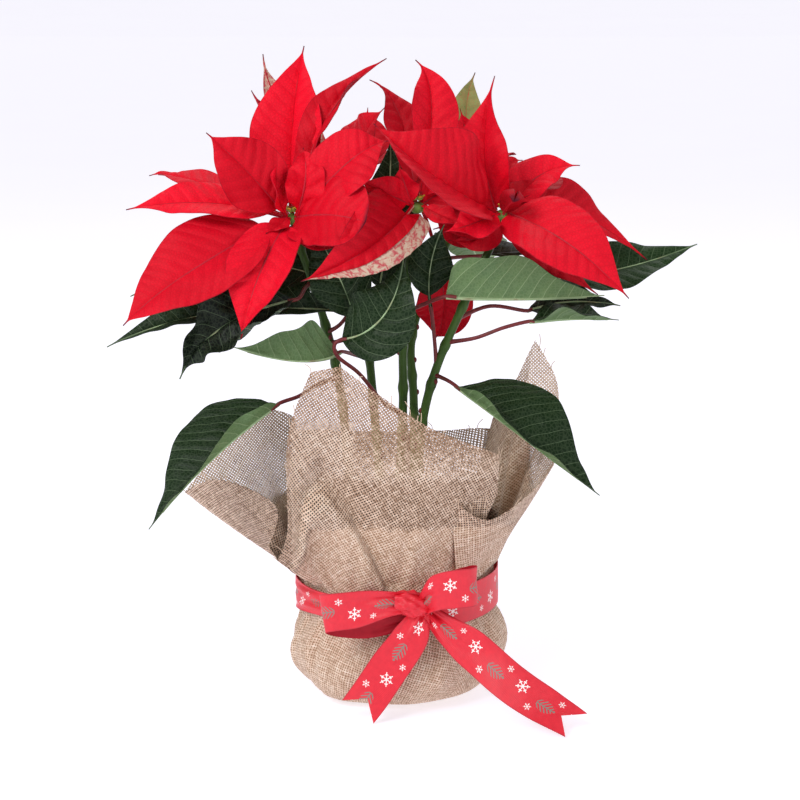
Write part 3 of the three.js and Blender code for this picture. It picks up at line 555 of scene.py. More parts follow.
# Bracts of each head, as root, middle and tip with the way each one faces.
bractTables = {
    "left": [
        dict(tip=[-60, 25, 413], via=[-67, 10, 363], face=[0, -1, 0.35], half=26, fold=[12, 5, 46, 34]),
        dict(tip=[-115, -35, 363], via=[-92, -30, 340], face=[0.1, -0.9, 0.4], half=22),
        dict(tip=[-156, 12, 335], via=[-128, 4, 331], face=[0, -0.2, 1], half=14),
        dict(tip=[-165, -34, 318], via=[-119, -26, 321], face=[0, -0.55, 0.85], half=17),
        dict(tip=[-167, -55, 250], via=[-128, -52, 281], face=[-0.3, -0.9, 0.35], half=28, stalk=0.1,
             base=0.6, widest=0.32, fold=[22, 12, 8, 0]),
        dict(tip=[-95, -65, 244], via=[-84, -55, 281], face=[-0.1, -0.85, 0.45], half=22, stalk=0.08,
             base=0.5, widest=0.36, fold=[12, 40, 12, 6]),
        dict(tip=[-9, 8, 407], via=[-46, -4, 369], face=[-0.4, -0.8, 0.5], half=13, fold=[30, 20, 50, 40],
             wave=3, crumple=2.5),
        dict(tip=[-7, -25, 359], via=[-31, -30, 346], face=[-0.15, -0.85, 0.5], half=21),
        dict(tip=[-19, -52, 312], via=[-41, -40, 315], face=[0, -0.92, 0.36], half=25, stalk=0.02, base=0.35,
             widest=0.6, taper=0.5, tone=0.3, fold=[6, -14, 10, 34], wave=3, thread=0),
        dict(tip=[-79, -34, 304], via=[-74, -28, 307], face=[0, -0.5, 0.85], half=6, wave=0.5),
        dict(tip=[-58, -18, 352], via=[-57, -26, 334], face=[0.2, -1, 0.2], half=12, wave=3.5, waves=3,
             crumple=4, taper=0.9),
        dict(tip=[-73, -22, 347], via=[-75, -25, 329], face=[1, -0.4, 0.2], half=8),
        dict(tip=[-28, -46, 299], via=[-50, -38, 299], face=[0, -0.7, 0.7], half=9, wave=1),
        dict(tip=[-112, 52, 330], via=[-92, 26, 331], face=[0, 0, 1]),
        dict(tip=[-64, 76, 318], via=[-66, 32, 330], face=[0, 0, 1]),
    ],
    "middle": [
        dict(tip=[-56, -58, 277], via=[-17, -46, 295], face=[-0.3, -1, 0.15], half=26,
             fold=[8, 150, 34, 26], leftShare=1.2, hinge=(0.6, 0.72), wave=1, mark=0.5, stalk=0.1,
             base=0.12, widest=0.24),
        dict(tip=[14, 24, 405], via=[22, 14, 376], face=[0, -1, 0.4], half=17, taper=1.9, fold=[50, 44, 8, 0]),
        dict(tip=[-15, 30, 393], via=[3, 24, 369], face=[0, -0.5, 0.9], half=12, taper=2.6,
             fold=[10, 5, 10, 5]),
        dict(tip=[2, -20, 342], via=[5, -18, 331], face=[-0.4, -0.9, 0.1], half=9, wave=2),
        dict(tip=[-22, -24, 334], via=[-6, -20, 326], face=[-0.2, -0.9, 0.3], half=11, wave=1),
        dict(tip=[26, 28, 227], via=[30, 18, 262], face=[0.1, -1, 0.2], half=19, stalk=0.3, widest=0.5,
             taper=1),
        dict(tip=[42, -28, 308], via=[28, -24, 313], face=[0, -0.6, 0.8], half=8, wave=1),
        dict(tip=[40, 38, 338], via=[28, 14, 336], face=[0, 0, 1], half=14),
        dict(tip=[62, 14, 290], via=[38, 6, 304], face=[0, -0.9, 0.5], half=15, stalk=0.2),
        dict(tip=[60, 12, 334], via=[34, 4, 327], face=[0, -0.9, 0.5], half=15, stalk=0.04),
    ],
    "right": [
        dict(tip=[-12, -44, 369], via=[24, -42, 338], face=[0.1, -0.95, 0.3], half=36, widest=0.36,
             base=0.6, fold=[64, 60, 6, -6], wave=2, waves=3, quilt=1.5, tone=0.4),
        dict(tip=[61, 4, 395], via=[55, -6, 353], face=[0, -1, 0.25], half=20, taper=2.2, stalk=0.02,
             base=0.5, fold=[10, 4, 50, 44]),
        dict(tip=[114, 10, 341], via=[89, 6, 334], face=[0.1, -0.6, 0.85], half=15),
        dict(tip=[161, 26, 280], via=[110, 20, 312], face=[0.3, -0.75, 0.75], half=20, taper=2, wave=3,
             stalk=0.04, quilt=1.1, tone=0.2),
        dict(tip=[141, -54, 267], via=[106, -46, 298], face=[0.3, -0.9, 0.5], half=25, widest=0.38, stalk=0.02,
             base=0.5),
        dict(tip=[32, -40, 305], via=[50, -34, 310], face=[0, -0.7, 0.7], half=13, stalk=0.1, wave=3),
        # painted shade: the low tones given below darken bracts that lie in shade behind and under the others
        dict(tip=[36, -8, 295], via=[54, -10, 299], face=[0, -0.9, 0.5], half=12, stalk=0.1, wave=1, tone=-0.2),
        dict(tip=[126, -8, 262], via=[92, -10, 290], face=[0, -0.9, 0.4], half=12, stalk=0.04, tone=-0.2),
        dict(tip=[72, -46, 324], via=[70, -28, 320], face=[0.4, 0, 1], half=15, fold=[25, 150, 25, 150], wave=0,
             stalk=0.02, base=0.4, widest=0.6, taper=0.45, thread=0, crumple=0.5),
        dict(tip=[26, 0, 302], via=[46, -4, 308], face=[0, -0.9, 0.4], half=14, stalk=0.04, tone=0),
        dict(tip=[96, 6, 330], via=[82, 0, 322], face=[0, -0.9, 0.4], half=12, stalk=0.02, tone=0),
        dict(tip=[100, 52, 322], via=[86, 22, 326], face=[0, 0, 1]),
    ],
    "back_left": [
        dict(tip=[-89, 80, 406], via=[-73, 82, 368], face=[0.2, 1, 0.2], half=13, taper=2.2, mark=0.5),
        dict(tip=[-95, 66, 383], via=[-74, 68, 360], face=[0.3, 0.8, 0.5], half=11, taper=2),
        dict(tip=[-10, 36, 374], via=[-22, 46, 354], face=[0, -0.6, 0.9], half=18),
        dict(tip=[-38, 168, 322], via=[-32, 120, 344], face=[0, 0, 1], half=23),
        dict(tip=[-128, 122, 308], via=[-78, 100, 334], face=[0, 0.1, 1], half=22),
        dict(tip=[-2, 154, 324], via=[-8, 112, 342], face=[0, 0, 1], half=20),
        dict(tip=[-20, 96, 370], via=[-22, 84, 352], face=[0, -0.9, 0.4], half=17),
    ],
    "back_right": [
        dict(tip=[51, 80, 394], via=[46, 76, 364], face=[0, -1, 0.3], half=12, mark=1),
        dict(tip=[66, 162, 318], via=[60, 115, 338], face=[0, 0, 1], half=22),
        dict(tip=[130, 102, 298], via=[96, 88, 322], face=[0, 0, 1], half=21),
        dict(tip=[82, 84, 338], via=[72, 78, 334], face=[0.2, -0.8, 0.6], half=9),
        dict(tip=[24, 142, 314], via=[38, 106, 330], face=[0, 0, 1], half=16),
        dict(tip=[42, 46, 372], via=[47, 50, 350], face=[0, -0.9, 0.5], half=14),
        dict(tip=[114, 150, 306], via=[84, 114, 328], face=[0, 0, 1], half=20),
    ],
}
hub = dict(radius=5.6, height=7.84)


def hubMiddle(name):
    x, y, z = stemPaths[name][-1]
    return Vector((x, y, z + hub["radius"] + clearance))


def bractRoot(name, given):
    middle = hubMiddle(name)
    reach = Vector(given["via"]) - middle
    reach.z *= 0.1
    return middle + reach.normalized() * 0.78 * hub["radius"]


def makeHead(name):
    x, y, z = stemPaths[name][-1]

    def base(u, v):  # the swollen end that the bracts grow from
        turn, s = math.pi * u, (v + 1) / 2
        lobes = 1 + 0.08 * math.cos(5 * turn) * math.sin(math.pi * s)
        radius = 0.86 * hub["radius"] * math.sin(math.pi * min(s * 1.02, 1)) ** 0.5 * lobes
        place = (x + radius * math.cos(turn), y + radius * math.sin(turn), z + clearance + hub["height"] * s)
        return place, (turn, s), (s, s, 0.5, 0)

    middle = shapedGrid("headBase", 30, 14, base)
    closeSeams(middle)
    smoothFaces(middle)
    middle.data.materials.append(hubSkin)
    parts = [middle]
    for number, given in enumerate(bractTables[name]):
        tone = (number * 0.37 + len(name) * 0.21) % 1
        blade = completed({"root": bractRoot(name, given), **given}, number, tone=given.get("tone", tone))
        parts.append(bladeSheet("bract", blade, bractUpper, bractUnder))
        if blade["half"] > 8:
            parts.append(bladeRib("rib", blade, 1.15, 0.3, bractRib))
    head = joinPieces(name + "Bracts", parts)
    handOver(head, "bract", "bracts_" + name)


for name in bractTables:
    makeHead(name)
print("bracts made")

# Cyathia, the small true flowers: green cups with a yellow gland and red stamens.
cyathia = dict(count=6, ring=2.3, radius=1.45, height=3.8, gland=0.8, stamens=3)


def makeCyathiumSkin():
    material, tree, shader = newMaterial("cyathiumSkin", {"Roughness": 0.42, "IOR": 1.42})
    share = addNode(tree, "Attribute", {"attribute_name": "share"}, {})
    split = addNode(tree, "SeparateColor", {}, {0: share.outputs["Color"]})
    place = addNode(tree, "TexCoord", {}, {})
    grain = addNode(tree, "TexNoise", {}, {"Vector": place.outputs["Object"], "Scale": 900.0, "Detail": 2.0})
    body = addNode(tree, "Mix", {"data_type": "RGBA"}, {0: grain, 6: "#6f9436", 7: "#b5c65a"})
    mouth = addNode(tree, "MapRange", {}, {0: split.outputs[1], 1: 0.78, 2: 0.95, 3: 0.0, 4: 1.0})
    final = addNode(tree, "Mix", {"data_type": "RGBA"}, {0: mouth, 6: body.outputs[2], 7: "#b23a2c"})
    bump = addNode(tree, "Bump", {}, {"Strength": 0.3, "Distance": 0.0003, "Height": grain})
    connect(tree, shader, {"Base Color": final.outputs[2], "Normal": bump})
    return material


cyathiumSkin = makeCyathiumSkin()
glandSkin, glandTree, glandShader = newMaterial("nectarGland", {"Roughness": 0.2, "IOR": 1.45})
glandPlace = addNode(glandTree, "TexCoord", {}, {})
glandGrain = addNode(glandTree, "TexNoise", {}, {"Vector": glandPlace.outputs["Object"], "Scale": 1200.0})
glandMix = addNode(glandTree, "Mix", {"data_type": "RGBA"}, {0: glandGrain, 6: "#d8b21e", 7: "#f0d24a"})
connect(glandTree, glandShader, {"Base Color": glandMix.outputs[2]})


def makeCyathia(name, turnBy):
    x, y, z = stemPaths[name][-1]
    z += hub["height"] + 2 * clearance
    parts = []
    for k in range(cyathia["count"] + 1):
        ring = cyathia["ring"] if k else 0
        turn = 2 * math.pi * k / cyathia["count"] + turnBy
        cx, cy, lift = x + ring * math.cos(turn), y + ring * math.sin(turn), (0.8 if k else 1.8) + 0.5 * (k % 2)
        size = 0.85 + 0.25 * ((k * 0.618) % 1)

        def cup(u, v):
            s, around = (v + 1) / 2, math.pi * u
            belly = math.sin(math.pi * min(1, s * 0.86 + 0.02)) ** 0.7
            ribs = 1 + 0.07 * math.cos(5 * around)
            radius = cyathia["radius"] * size * belly * ribs * (1 if s < 0.999 else 0)
            height = cyathia["height"] * size * (s if s < 0.999 else 0.9)
            point = (cx + radius * math.cos(around), cy + radius * math.sin(around), z + lift - 0.8 + height)
            return point, (around, s), (s, s, 0.5, 0)

        bud = shapedGrid("cyathium", 20, 12, cup)
        closeSeams(bud)
        bud.data.materials.append(cyathiumSkin)
        smoothFaces(bud)
        parts.append(bud)
        bpy.ops.mesh.primitive_torus_add(
            major_segments=14, minor_segments=8, major_radius=cyathia["gland"] * mm, minor_radius=0.42 * mm,
            location=Vector((cx + 1.4 * math.cos(turn), cy + 1.4 * math.sin(turn), z + lift + 1.9)) * mm,
            rotation=(0.5 * math.sin(turn), -0.5 * math.cos(turn), 0),
        )
        gland = bpy.context.object
        bpy.ops.object.transform_apply(location=True, rotation=True)
        gland.data.materials.append(glandSkin)
        smoothFaces(gland)
        parts.append(gland)
        for s in range(cyathia["stamens"]):
            spread = 2 * math.pi * s / cyathia["stamens"] + k
            foot = Vector((cx + 0.5 * math.cos(spread), cy + 0.5 * math.sin(spread), z + lift + 2.6))
            top = foot + Vector((0.6 * math.cos(spread), 0.6 * math.sin(spread), 2.2))
            parts.append(stalkAlong("stamen", [foot, top], [0.22, 0.3], bractRib, 1))
    flowers = joinPieces(name + "Cyathia", parts)
    handOver(flowers, "cyathium", "cyathia_" + name)


for number, name in enumerate(stemPaths):
    makeCyathia(name, number)
print("cyathia made")

# Leaves, each with the bends of its stalk, which starts on a stem.
leafTable = {
    "low_left": dict(petiole=[[-38, -3, 206], [-50, -18, 204], [-62, -32, 199]],
         root=[-74, -46, 197], via=[-114, -74, 168], tip=[-151, -86, 128], face=[-0.5, -0.85, 0.5],
         half=34, widest=0.32, fold=[82, 112, 4, -8], foldTip=[62, 58, 4, -8], leftShare=0.42, stalk=0.02),
    "low_right": dict(petiole=[[24, -11, 209], [32, -20, 207]], root=[37, -27, 205],
         via=[73, -55, 182], tip=[125, -62, 143], face=[0.35, -0.9, 0.5], half=14,
         leftShare=2.6, widest=0.48, fold=[8, -10, 82, 94], foldTip=[8, -10, 68, 62], stalk=0.04),
    "under_right": dict(petiole=[[5, -6, 248], [14, -16, 254]], root=[31, -27, 262],
         via=[82, -22, 260], tip=[129, -24, 262], face=[0, 0.05, 1], half=27, leftShare=0.32,
         widest=0.3, base=0.3, fold=[16, 10, 84, 80], stalk=0),
    "far_right": dict(petiole=[[53, -11, 278], [74, 4, 272]], root=[95, 12, 267],
         via=[146, 30, 272], tip=[196, 40, 286], face=[0.05, -0.6, 0.8], half=20, stalk=0.04, tone=1.3),
    "curled_right": dict(petiole=[[32, -11.5, 230], [50, -18, 234], [68, -20, 241]],
         root=[84, -20, 245], via=[112, -20, 247], tip=[139, -20, 246], face=[0, -0.2, 1], half=15,
         fold=[20, 10, 44, 30], stalk=0.04),
    "dark_right": dict(petiole=[[39, -11.5, 246], [60, -2, 252]], root=[84, 4, 248],
         via=[112, 6, 254], tip=[142, 2, 252], face=[0, -0.6, 0.8], half=13, fold=[10, 0, 10, 0],
         wave=3, waves=3, crumple=3, mark=0.8, stalk=0.04),
    "centre": dict(petiole=[[3.5, -6, 182], [-8, -16, 191], [-24, -28, 213],
         [-38, -34, 226], [-39, -36, 233]], root=[-35, -36, 236], via=[-9, -46, 252], tip=[4, -40, 286],
         face=[-0.2, -0.95, 0.2], half=23, widest=0.45, stalk=0.02, fold=[14, 0, 14, -4]),
    "pale_left": dict(petiole=[[-19, 28, 212], [-26, 2, 219]], root=[-36, -24, 226],
         via=[-62, -42, 224], tip=[-102, -46, 233], face=[0, 0.5, 1], half=23, widest=0.36,
         fold=[82, 74, 40, 30], stalk=0.03),
    "far_left": dict(petiole=[[-45, -4.5, 235], [-36, -12, 242]], root=[-31, -17, 251],
         via=[-114, -24, 251], tip=[-182, -24, 230], face=[0, -0.9, 0.5], half=17, widest=0.4,
         fold=[50, 64, 10, 0], stalk=0.04),
    "crumpled_left": dict(petiole=[[-55, -8, 268], [-58, -18, 266]], root=[-62, -30, 261],
         via=[-107, -50, 247], tip=[-134, -54, 216], face=[-0.1, -0.8, 0.5], half=20,
         fold=[28, 50, 26, 48], wave=5.5, waves=3.4, crumple=6.5, mark=1, stalk=0.04),
    "inner_left": dict(petiole=[[-49, -6, 252], [-44, 4, 256]], root=[-38, 10, 264],
         via=[-100, 12, 277], tip=[-171, 12, 257], face=[0, -0.9, 0.5], half=22, widest=0.35,
         stalk=0.04),
    "front_left": dict(petiole=[[-43, -4, 228], [-30, -14, 234]], root=[-26, -22, 246],
         via=[-38, -26, 278], tip=[-52, -28, 304], face=[0.1, -1, 0.2], half=19, stalk=0.04),
    "inner_middle": dict(petiole=[[-20, 34, 232], [-14, 32, 244]],
         root=[-12, 32, 256], via=[-6, 28, 304], tip=[-4, 32, 356], face=[0, -1, 0.2], half=21, stalk=0.04),
    "inner_right": dict(petiole=[[25.5, -11, 213], [24, -12, 232]],
         root=[22, -12, 250], via=[21, -13, 277], tip=[29, -14, 304], face=[0.1, -0.9, 0.2], half=14,
         stalk=0.2),
    "back_left_high": dict(petiole=[[-24, 48, 276], [-30, 58, 274]],
         root=[-38, 64, 270], via=[-74, 88, 262], tip=[-110, 110, 236], face=[0, 0, 1], half=24, stalk=0.04),
    "back_middle": dict(petiole=[[-25, 58, 300], [-26, 70, 292]], root=[-26, 80,
         286], via=[-28, 124, 280], tip=[-30, 166, 254], face=[0, 0, 1], half=26, stalk=0.04),
    "back_right_high": dict(petiole=[[42, 56, 299], [42, 68, 292]],
         root=[42, 78, 286], via=[52, 120, 276], tip=[60, 158, 252], face=[0, 0, 1], half=25, stalk=0.04),
    "back_far_right": dict(petiole=[[28, 46, 276], [42, 56, 276]],
         root=[56, 62, 276], via=[96, 84, 274], tip=[134, 106, 258], face=[0, -0.1, 1], half=22, stalk=0.04),
    "back_low": dict(petiole=[[10, 25, 225], [4, 36, 228]], root=[0, 46, 232],
         via=[-6, 82, 232], tip=[-8, 114, 208], face=[0, 0.1, 1], half=22, stalk=0.04),
}


def makeLeafPiece(name, number):
    given = leafTable[name]
    blade = completed(given, number, thread=2, quilt=0.9, crumple=1.5)
    stalk = smoothPath([*given["petiole"], given["root"], bladeAt(blade, 0.06, 0)[0]], 8)
    radii = [1.25 + 0.7 * math.exp(-k / 2.2) for k in range(len(stalk))]
    parts = [
        bladeSheet("leaf", blade, leafUpper, leafUnder),
        stalkAlong("petiole", stalk, radii, petioleSkin, 3),
        bladeRib("rib", blade, 1.2, 0.3, leafRib),
    ]
    words = name.split("_")
    piece = joinPieces(words[0] + "".join(word.title() for word in words[1:]) + "Leaf", parts)
    handOver(piece, "leaf", "leaf_" + name)


for number, name in enumerate(leafTable):
    makeLeafPiece(name, number)
print("leaves made")

# The nursery pot, with a rolled rim and two steps.
pot = dict(base=1.5, height=120, bottom=45, top=57, rim=59.5, rimHeight=11, wall=1.8, floor=2, soil=108)


# Injection-moulded polypropylene: a satin brown, finely grained, with a mist of dust.
def makePotPlastic():
    material, tree, shader = newMaterial("mouldedPolypropylene", {"Roughness": 0.42, "IOR": 1.49})
    place = addNode(tree, "TexCoord", {}, {})
    dust = addNode(tree, "TexNoise", {}, {"Vector": place.outputs["Object"], "Scale": 38.0, "Detail": 5.0})
    mist = addNode(tree, "MapRange", {}, {0: dust, 1: 0.45, 2: 0.7, 3: 0.0, 4: 0.5})
    colour = addNode(tree, "Mix", {"data_type": "RGBA"}, {0: mist, 6: "#6a4430", 7: "#86593f"})
    grain = addNode(tree, "TexNoise", {}, {"Vector": place.outputs["Object"], "Scale": 1500.0, "Detail": 2.0})
    bump = addNode(tree, "Bump", {}, {"Strength": 0.2, "Distance": 0.0003, "Height": grain})
    rough = addNode(tree, "MapRange", {}, {0: dust, 1: 0.3, 2: 0.7, 3: 0.36, 4: 0.6})
    connect(tree, shader, {"Base Color": colour.outputs[2], "Roughness": rough, "Normal": bump})
    return material


# A closed round piece from its profile of radius and height, in millimetres.
def turnedPiece(name, profile, columns, wobble=lambda turn, radius, height: (radius, height)):
    last = len(profile) - 1

    def place(u, v):
        turn, k = math.pi * u, round((v + 1) / 2 * last)
        radius, height = wobble(turn, *profile[k])
        point = (radius * math.cos(turn), radius * math.sin(turn), height)
        return point, (turn * 50, k), (0.5, k / last, 0.5, 0)

    piece = shapedGrid(name, columns, last, place)
    closeSeams(piece)
    return piece


def wallAt(height):
    return pot["bottom"] + (pot["top"] - pot["bottom"]) * height / pot["height"]


def makePot():
    under = pot["height"] - pot["rimHeight"]
    profile = [(0, 0), (30, 0), (pot["bottom"] - 1.2, 0), (pot["bottom"], 1.2)]
    profile += [(wallAt(h), h) for h in (20, 40, 60, 80)]
    profile += [(wallAt(under) - 0.3, under - 1.2), (wallAt(under) + 0.6, under)]
    profile += [(pot["rim"] - 0.8, under + 0.2), (pot["rim"], under + 1.2), (pot["rim"], under + 5)]
    profile += [(pot["rim"] - 0.3, under + 5.6), (pot["rim"] - 0.3, pot["height"] - 1)]
    for k in range(7):
        turn = math.pi * k / 6
        inner = pot["top"] - pot["wall"]
        profile.append(((pot["rim"] + inner) / 2 + (pot["rim"] - inner) / 2 * math.cos(turn),
                        pot["height"] - 1 + math.sin(turn)))
    profile += [(wallAt(h) - pot["wall"], h) for h in (110, 80, 40, 10)]
    profile += [(pot["bottom"] - pot["wall"], pot["floor"]), (30, pot["floor"]), (0, pot["floor"])]
    piece = turnedPiece("nurseryPot", [(r, h + pot["base"]) for r, h in profile], 120)
    piece.data.materials.append(makePotPlastic())
    smoothFaces(piece, 40)
    handOver(piece, "pot", "pot")


# The soil, domed a little, with crumbs and pale grains of perlite on it.
peat = dict(crumbs=260, perlite=46, spread=50, crown=3, dome=4.5, small=0.8, large=2.0)


# Moist peat: dark, matt and lumpy.
def makePeatMaterial():
    material, tree, shader = newMaterial("moistPeat", {"Roughness": 0.95})
    place = addNode(tree, "TexCoord", {}, {})
    lumps = addNode(tree, "TexNoise", {}, {"Vector": place.outputs["Object"], "Scale": 260.0, "Detail": 8.0})
    colour = addNode(tree, "ValToRGB", {}, {0: lumps})
    colour.color_ramp.elements[0].color = linear("#1d130d")
    colour.color_ramp.elements[0].position = 0.35
    colour.color_ramp.elements[1].color = linear("#5a4130")
    colour.color_ramp.elements[1].position = 0.7
    bump = addNode(tree, "Bump", {}, {"Strength": 1.0, "Distance": 0.0015, "Height": lumps})
    connect(tree, shader, {"Base Color": colour, "Normal": bump})
    return material


def makePeat():
    top = pot["soil"]
    radius = wallAt(top - pot["base"]) - pot["wall"] - 0.35
    steps = 34

    def surfaceAt(share):
        return top + peat["crown"] - peat["dome"] * share**2

    profile = [(radius * k / steps, surfaceAt(k / steps)) for k in range(steps + 1)]
    profile += [(radius - 0.2, top - 6), (wallAt(40) - 2.4, 41.5), (wallAt(4) - 2.6, 5.5), (20, 4.2), (0, 4.2)]

    def wobble(turn, r, height):
        if height < top - 3:
            return r, height
        lump = Vector((r * math.cos(turn) / 6, r * math.sin(turn) / 6, 2.0))
        rough = 1.5 * noise.noise(lump) + 0.8 * noise.noise(lump * 3)
        return r, height + rough * (1 - ease(r, radius - 3, radius))

    piece = turnedPiece("peat", profile, 110, wobble)
    piece.data.materials.append(makePeatMaterial())
    smoothFaces(piece)
    parts = [piece]
    perliteSkin, tree, shader = newMaterial("expandedPerlite", {"Roughness": 0.85})
    place = addNode(tree, "TexCoord", {}, {})
    grain = addNode(tree, "TexNoise", {}, {"Vector": place.outputs["Object"], "Scale": 700.0, "Detail": 4.0})
    colour = addNode(tree, "Mix", {"data_type": "RGBA"}, {0: grain, 6: "#c9c4b8", 7: "#f2efe8"})
    connect(tree, shader, {"Base Color": colour.outputs[2]})
    for k in range(peat["crumbs"] + peat["perlite"]):
        reach, turn = peat["spread"] * math.sqrt(random.random()), random.uniform(0, 2 * math.pi)
        size = random.uniform(peat["small"], peat["large"])
        place = Vector((reach * math.cos(turn), reach * math.sin(turn), surfaceAt(reach / radius) + 0.3))
        bpy.ops.mesh.primitive_ico_sphere_add(
            subdivisions=1, radius=size * mm, location=place * mm,
            rotation=(random.uniform(0, 3), random.uniform(0, 3), 0), scale=(1, random.uniform(0.6, 1), 0.7),
        )
        bpy.ops.object.transform_apply(location=True, rotation=True, scale=True)
        crumb = bpy.context.object
        crumb.data.materials.append(perliteSkin if k >= peat["crumbs"] else piece.data.materials[0])
        parts.append(crumb)
    handOver(joinPieces("peat", parts), "soil", "soil")


makePot()
makePeat()
print("pot and soil made")

# The wrap: one square of open-weave burlap, gathered round the pot's waist. Its cut edge is given as
# (foot, x, y, z, corner), where foot is the angle in degrees at which that strand of cloth leaves the
# waist, and corner is 1 where the edge turns sharply.
wrap = dict(
    thickness=0.4, waistHeight=65.5, waistTilt=3.5, strands=360, baseRows=16, freeRows=34, pleats=26,
    pleat=1.7, thread=1.6, threadWidth=0.73, loose=64, looseRadius=0.24,
)
wrapEdge = [
    (217, -76, -60, 99, 1), (223, -69, -65, 122, 0), (231, -68, -65, 178, 0), (239, -53, -61, 220, 1),
    (246, -35, -61, 223.5, 1), (258, -10, -66, 206, 0), (272, 17, -67, 188, 0), (286, 40, -62.5, 177, 0),
    (299, 64, -55, 166.5, 1), (304, 63.5, -50, 140, 1), (308, 36.5, -60, 138.5, 1), (316, 61, -54, 124.5, 0),
    (332, 101, -20, 154, 0),
    (360, 103, 8, 200, 0), (373, 90, 14, 227, 1), (388, 76, 21, 194, 0), (405, 69, 42, 166, 0),
    (420, 50, 58, 159, 0), (435, 24, 72, 153, 0), (450, 0, 98, 147, 0), (465, -22, 126, 142, 1),
    (480, -48, 100, 148, 0), (495, -62, 70, 156, 0), (510, -74, 48, 166, 0), (525, -88, 33, 176, 0),
    (540, -116, 10, 156, 0), (551, -139, -10, 131, 1), (560, -112, -33, 145, 0), (567, -76, -44, 131, 0),
    (573, -82, -50, 106, 1),
]
# The weave is laid out in panels between these entries of the edge, with the angles in degrees by
# which its threads lean below and above the waist.
wrapPanels = [(0, 9, 14, -32), (9, 16, -20, -34), (16, 23, 12, -18), (23, 30, -12, 8)]
wrapBelly = [  # radius, height, share of the waist's tilt, share of the pleat
    (0, 0, 0, 0), (20, 0, 0, 0), (40, 0, 0, 0), (52, 1, 0, 0.05), (63.5, 5.5, 0, 0.35), (69.5, 18, 0.1, 0.6),
    (70, 34, 0.4, 0.8), (62.5, 52.5, 1, 1), (62.5, 65.5, 1, 1), (62.5, 78.5, 1, 1),
]
# Folds above the waist: the strand's angle at the waist and at the edge, half its width in degrees,
# how far its two sides lie apart, how far one laps over the other, and the share of the way up where
# it starts and ends. In a loose fold the lap is spread out, so that the weave keeps its shape.
wrapFolds = [
    dict(low=264, high=208, width=6, step=-4.6, lap=4, start=-0.2, end=0.62, loose=True),
    dict(low=303, high=306, width=4, step=2.2, lap=2.5, start=-0.1, end=0.7, loose=True),
    dict(low=48, high=48, width=7, step=2.0, lap=7, start=0.3, end=1.0),
    dict(low=8, high=2, width=9, step=-2.5, lap=6, start=0.15, end=0.8),
    dict(low=150, high=146, width=9, step=2.4, lap=8, start=0.05, end=1.0),
    dict(low=85, high=88, width=9, step=-2.4, lap=8, start=0.05, end=1.0),
]
foldReach = 3.5  # how many of its widths a fold reaches to either side


# The foot and place of the cut edge at a share of the way round it.
def edgeAt(share):
    count = len(wrapEdge)
    first = math.floor(share * count)
    t = share * count - first
    before, a, b, after = [
        (Vector(wrapEdge[k % count][:4]) + Vector((360 * (k // count), 0, 0, 0)), wrapEdge[k % count][4])
        for k in range(first - 1, first + 3)
    ]
    leave = (b[0] - before[0]) / 2 * (1 - a[1])
    arrive = (after[0] - a[0]) / 2 * (1 - b[1])
    value = (2 * t**3 - 3 * t**2 + 1) * a[0] + (t**3 - 2 * t**2 + t) * leave
    value += (3 * t**2 - 2 * t**3) * b[0] + (t**3 - t**2) * arrive
    return value[0], Vector(value[1:])


# One strand of the cloth, from the middle of the base to the cut edge. The bare one has no folds.
def strandAt(share, bare):
    foot, place = edgeAt(share)
    turn = math.radians(foot)
    gathers = 0.62 * math.sin(wrap["pleats"] * turn + 1.4 * math.sin(3 * turn)) + 0.38 * math.sin(43 * turn + 2)
    soft = math.sin(9 * turn + 0.8) + 0.6 * math.sin(14 * turn + 2.1)
    front = ease(-math.sin(turn), 0.4, 0.9)
    pleat = 0 if bare else wrap["pleat"] * (1 - 0.55 * front) * gathers
    out = Vector((math.cos(turn), math.sin(turn), 0))
    points = []
    for radius, height, tilt, fold in smoothTable(wrapBelly, 4):
        lift = wrap["thickness"] / 2 + height + tilt * wrap["waistTilt"] * out.x
        if not bare:
            slack = ease(radius, 44, 66) * (1 - ease(height, 46, 58))
            lift += 1.8 * slack * (1 - ease(height, 8, 22)) * (1 - math.cos(2 * (turn - 4.4)))
            bulges = 2.2 * math.sin(5 * turn + height / 16) + 1.5 * math.sin(8 * turn - height / 11 + 1)
            radius += slack * bulges
        points.append(out * (max(radius, 3 if bare else 0) + fold * pleat - 0.3 * fold) + Vector((0, 0, lift)))
    waist = points[-1]
    bend = waist.lerp(place, 0.56)
    bend.z = (waist.z + place.z) / 2
    for k in range(1, wrap["freeRows"] + 1):
        t = k / wrap["freeRows"]
        point = waist * (1 - t) ** 2 + bend * 2 * t * (1 - t) + place * t * t
        if bare:
            points.append(point)
            continue
        angle, step = foot, 0
        for fold in wrapFolds:
            centre = fold["low"] + (fold["high"] - fold["low"]) * t
            x = ((foot - centre + 180) % 360 - 180) / fold["width"]
            if abs(x) < foldReach:
                weight = ease(t, fold["start"] - 0.12, fold["start"] + 0.12)
                weight *= 1 - ease(t, fold["end"] - 0.1, fold["end"] + 0.1) if fold["end"] < 1 else 1
                step += weight * fold["step"] * math.tanh(2.2 * x) * math.exp(-x * x / 5)
                slide = x * math.exp(-x * x)
                if fold.get("loose"):
                    slide = x / (1 + x * x) * (1 - x * x / foldReach**2) ** 2
                angle -= weight * fold["lap"] * 2.2 * slide
        turned = math.radians(angle - foot)
        point = Vector((
            point.x * math.cos(turned) - point.y * math.sin(turned),
            point.x * math.sin(turned) + point.y * math.cos(turned),
            point.z,
        ))
        push = pleat * (1 - t) ** 3 * 0.9 + (0.9 - 0.5 * front) * soft * ease(t, 0.1, 0.7) + step
        lump = noise.noise(Vector((point.x / 30, point.y / 30, point.z / 36 + 5)))
        points.append(point + out * (push + 1.3 * lump * ease(t, 0.05, 0.4)))
    return points


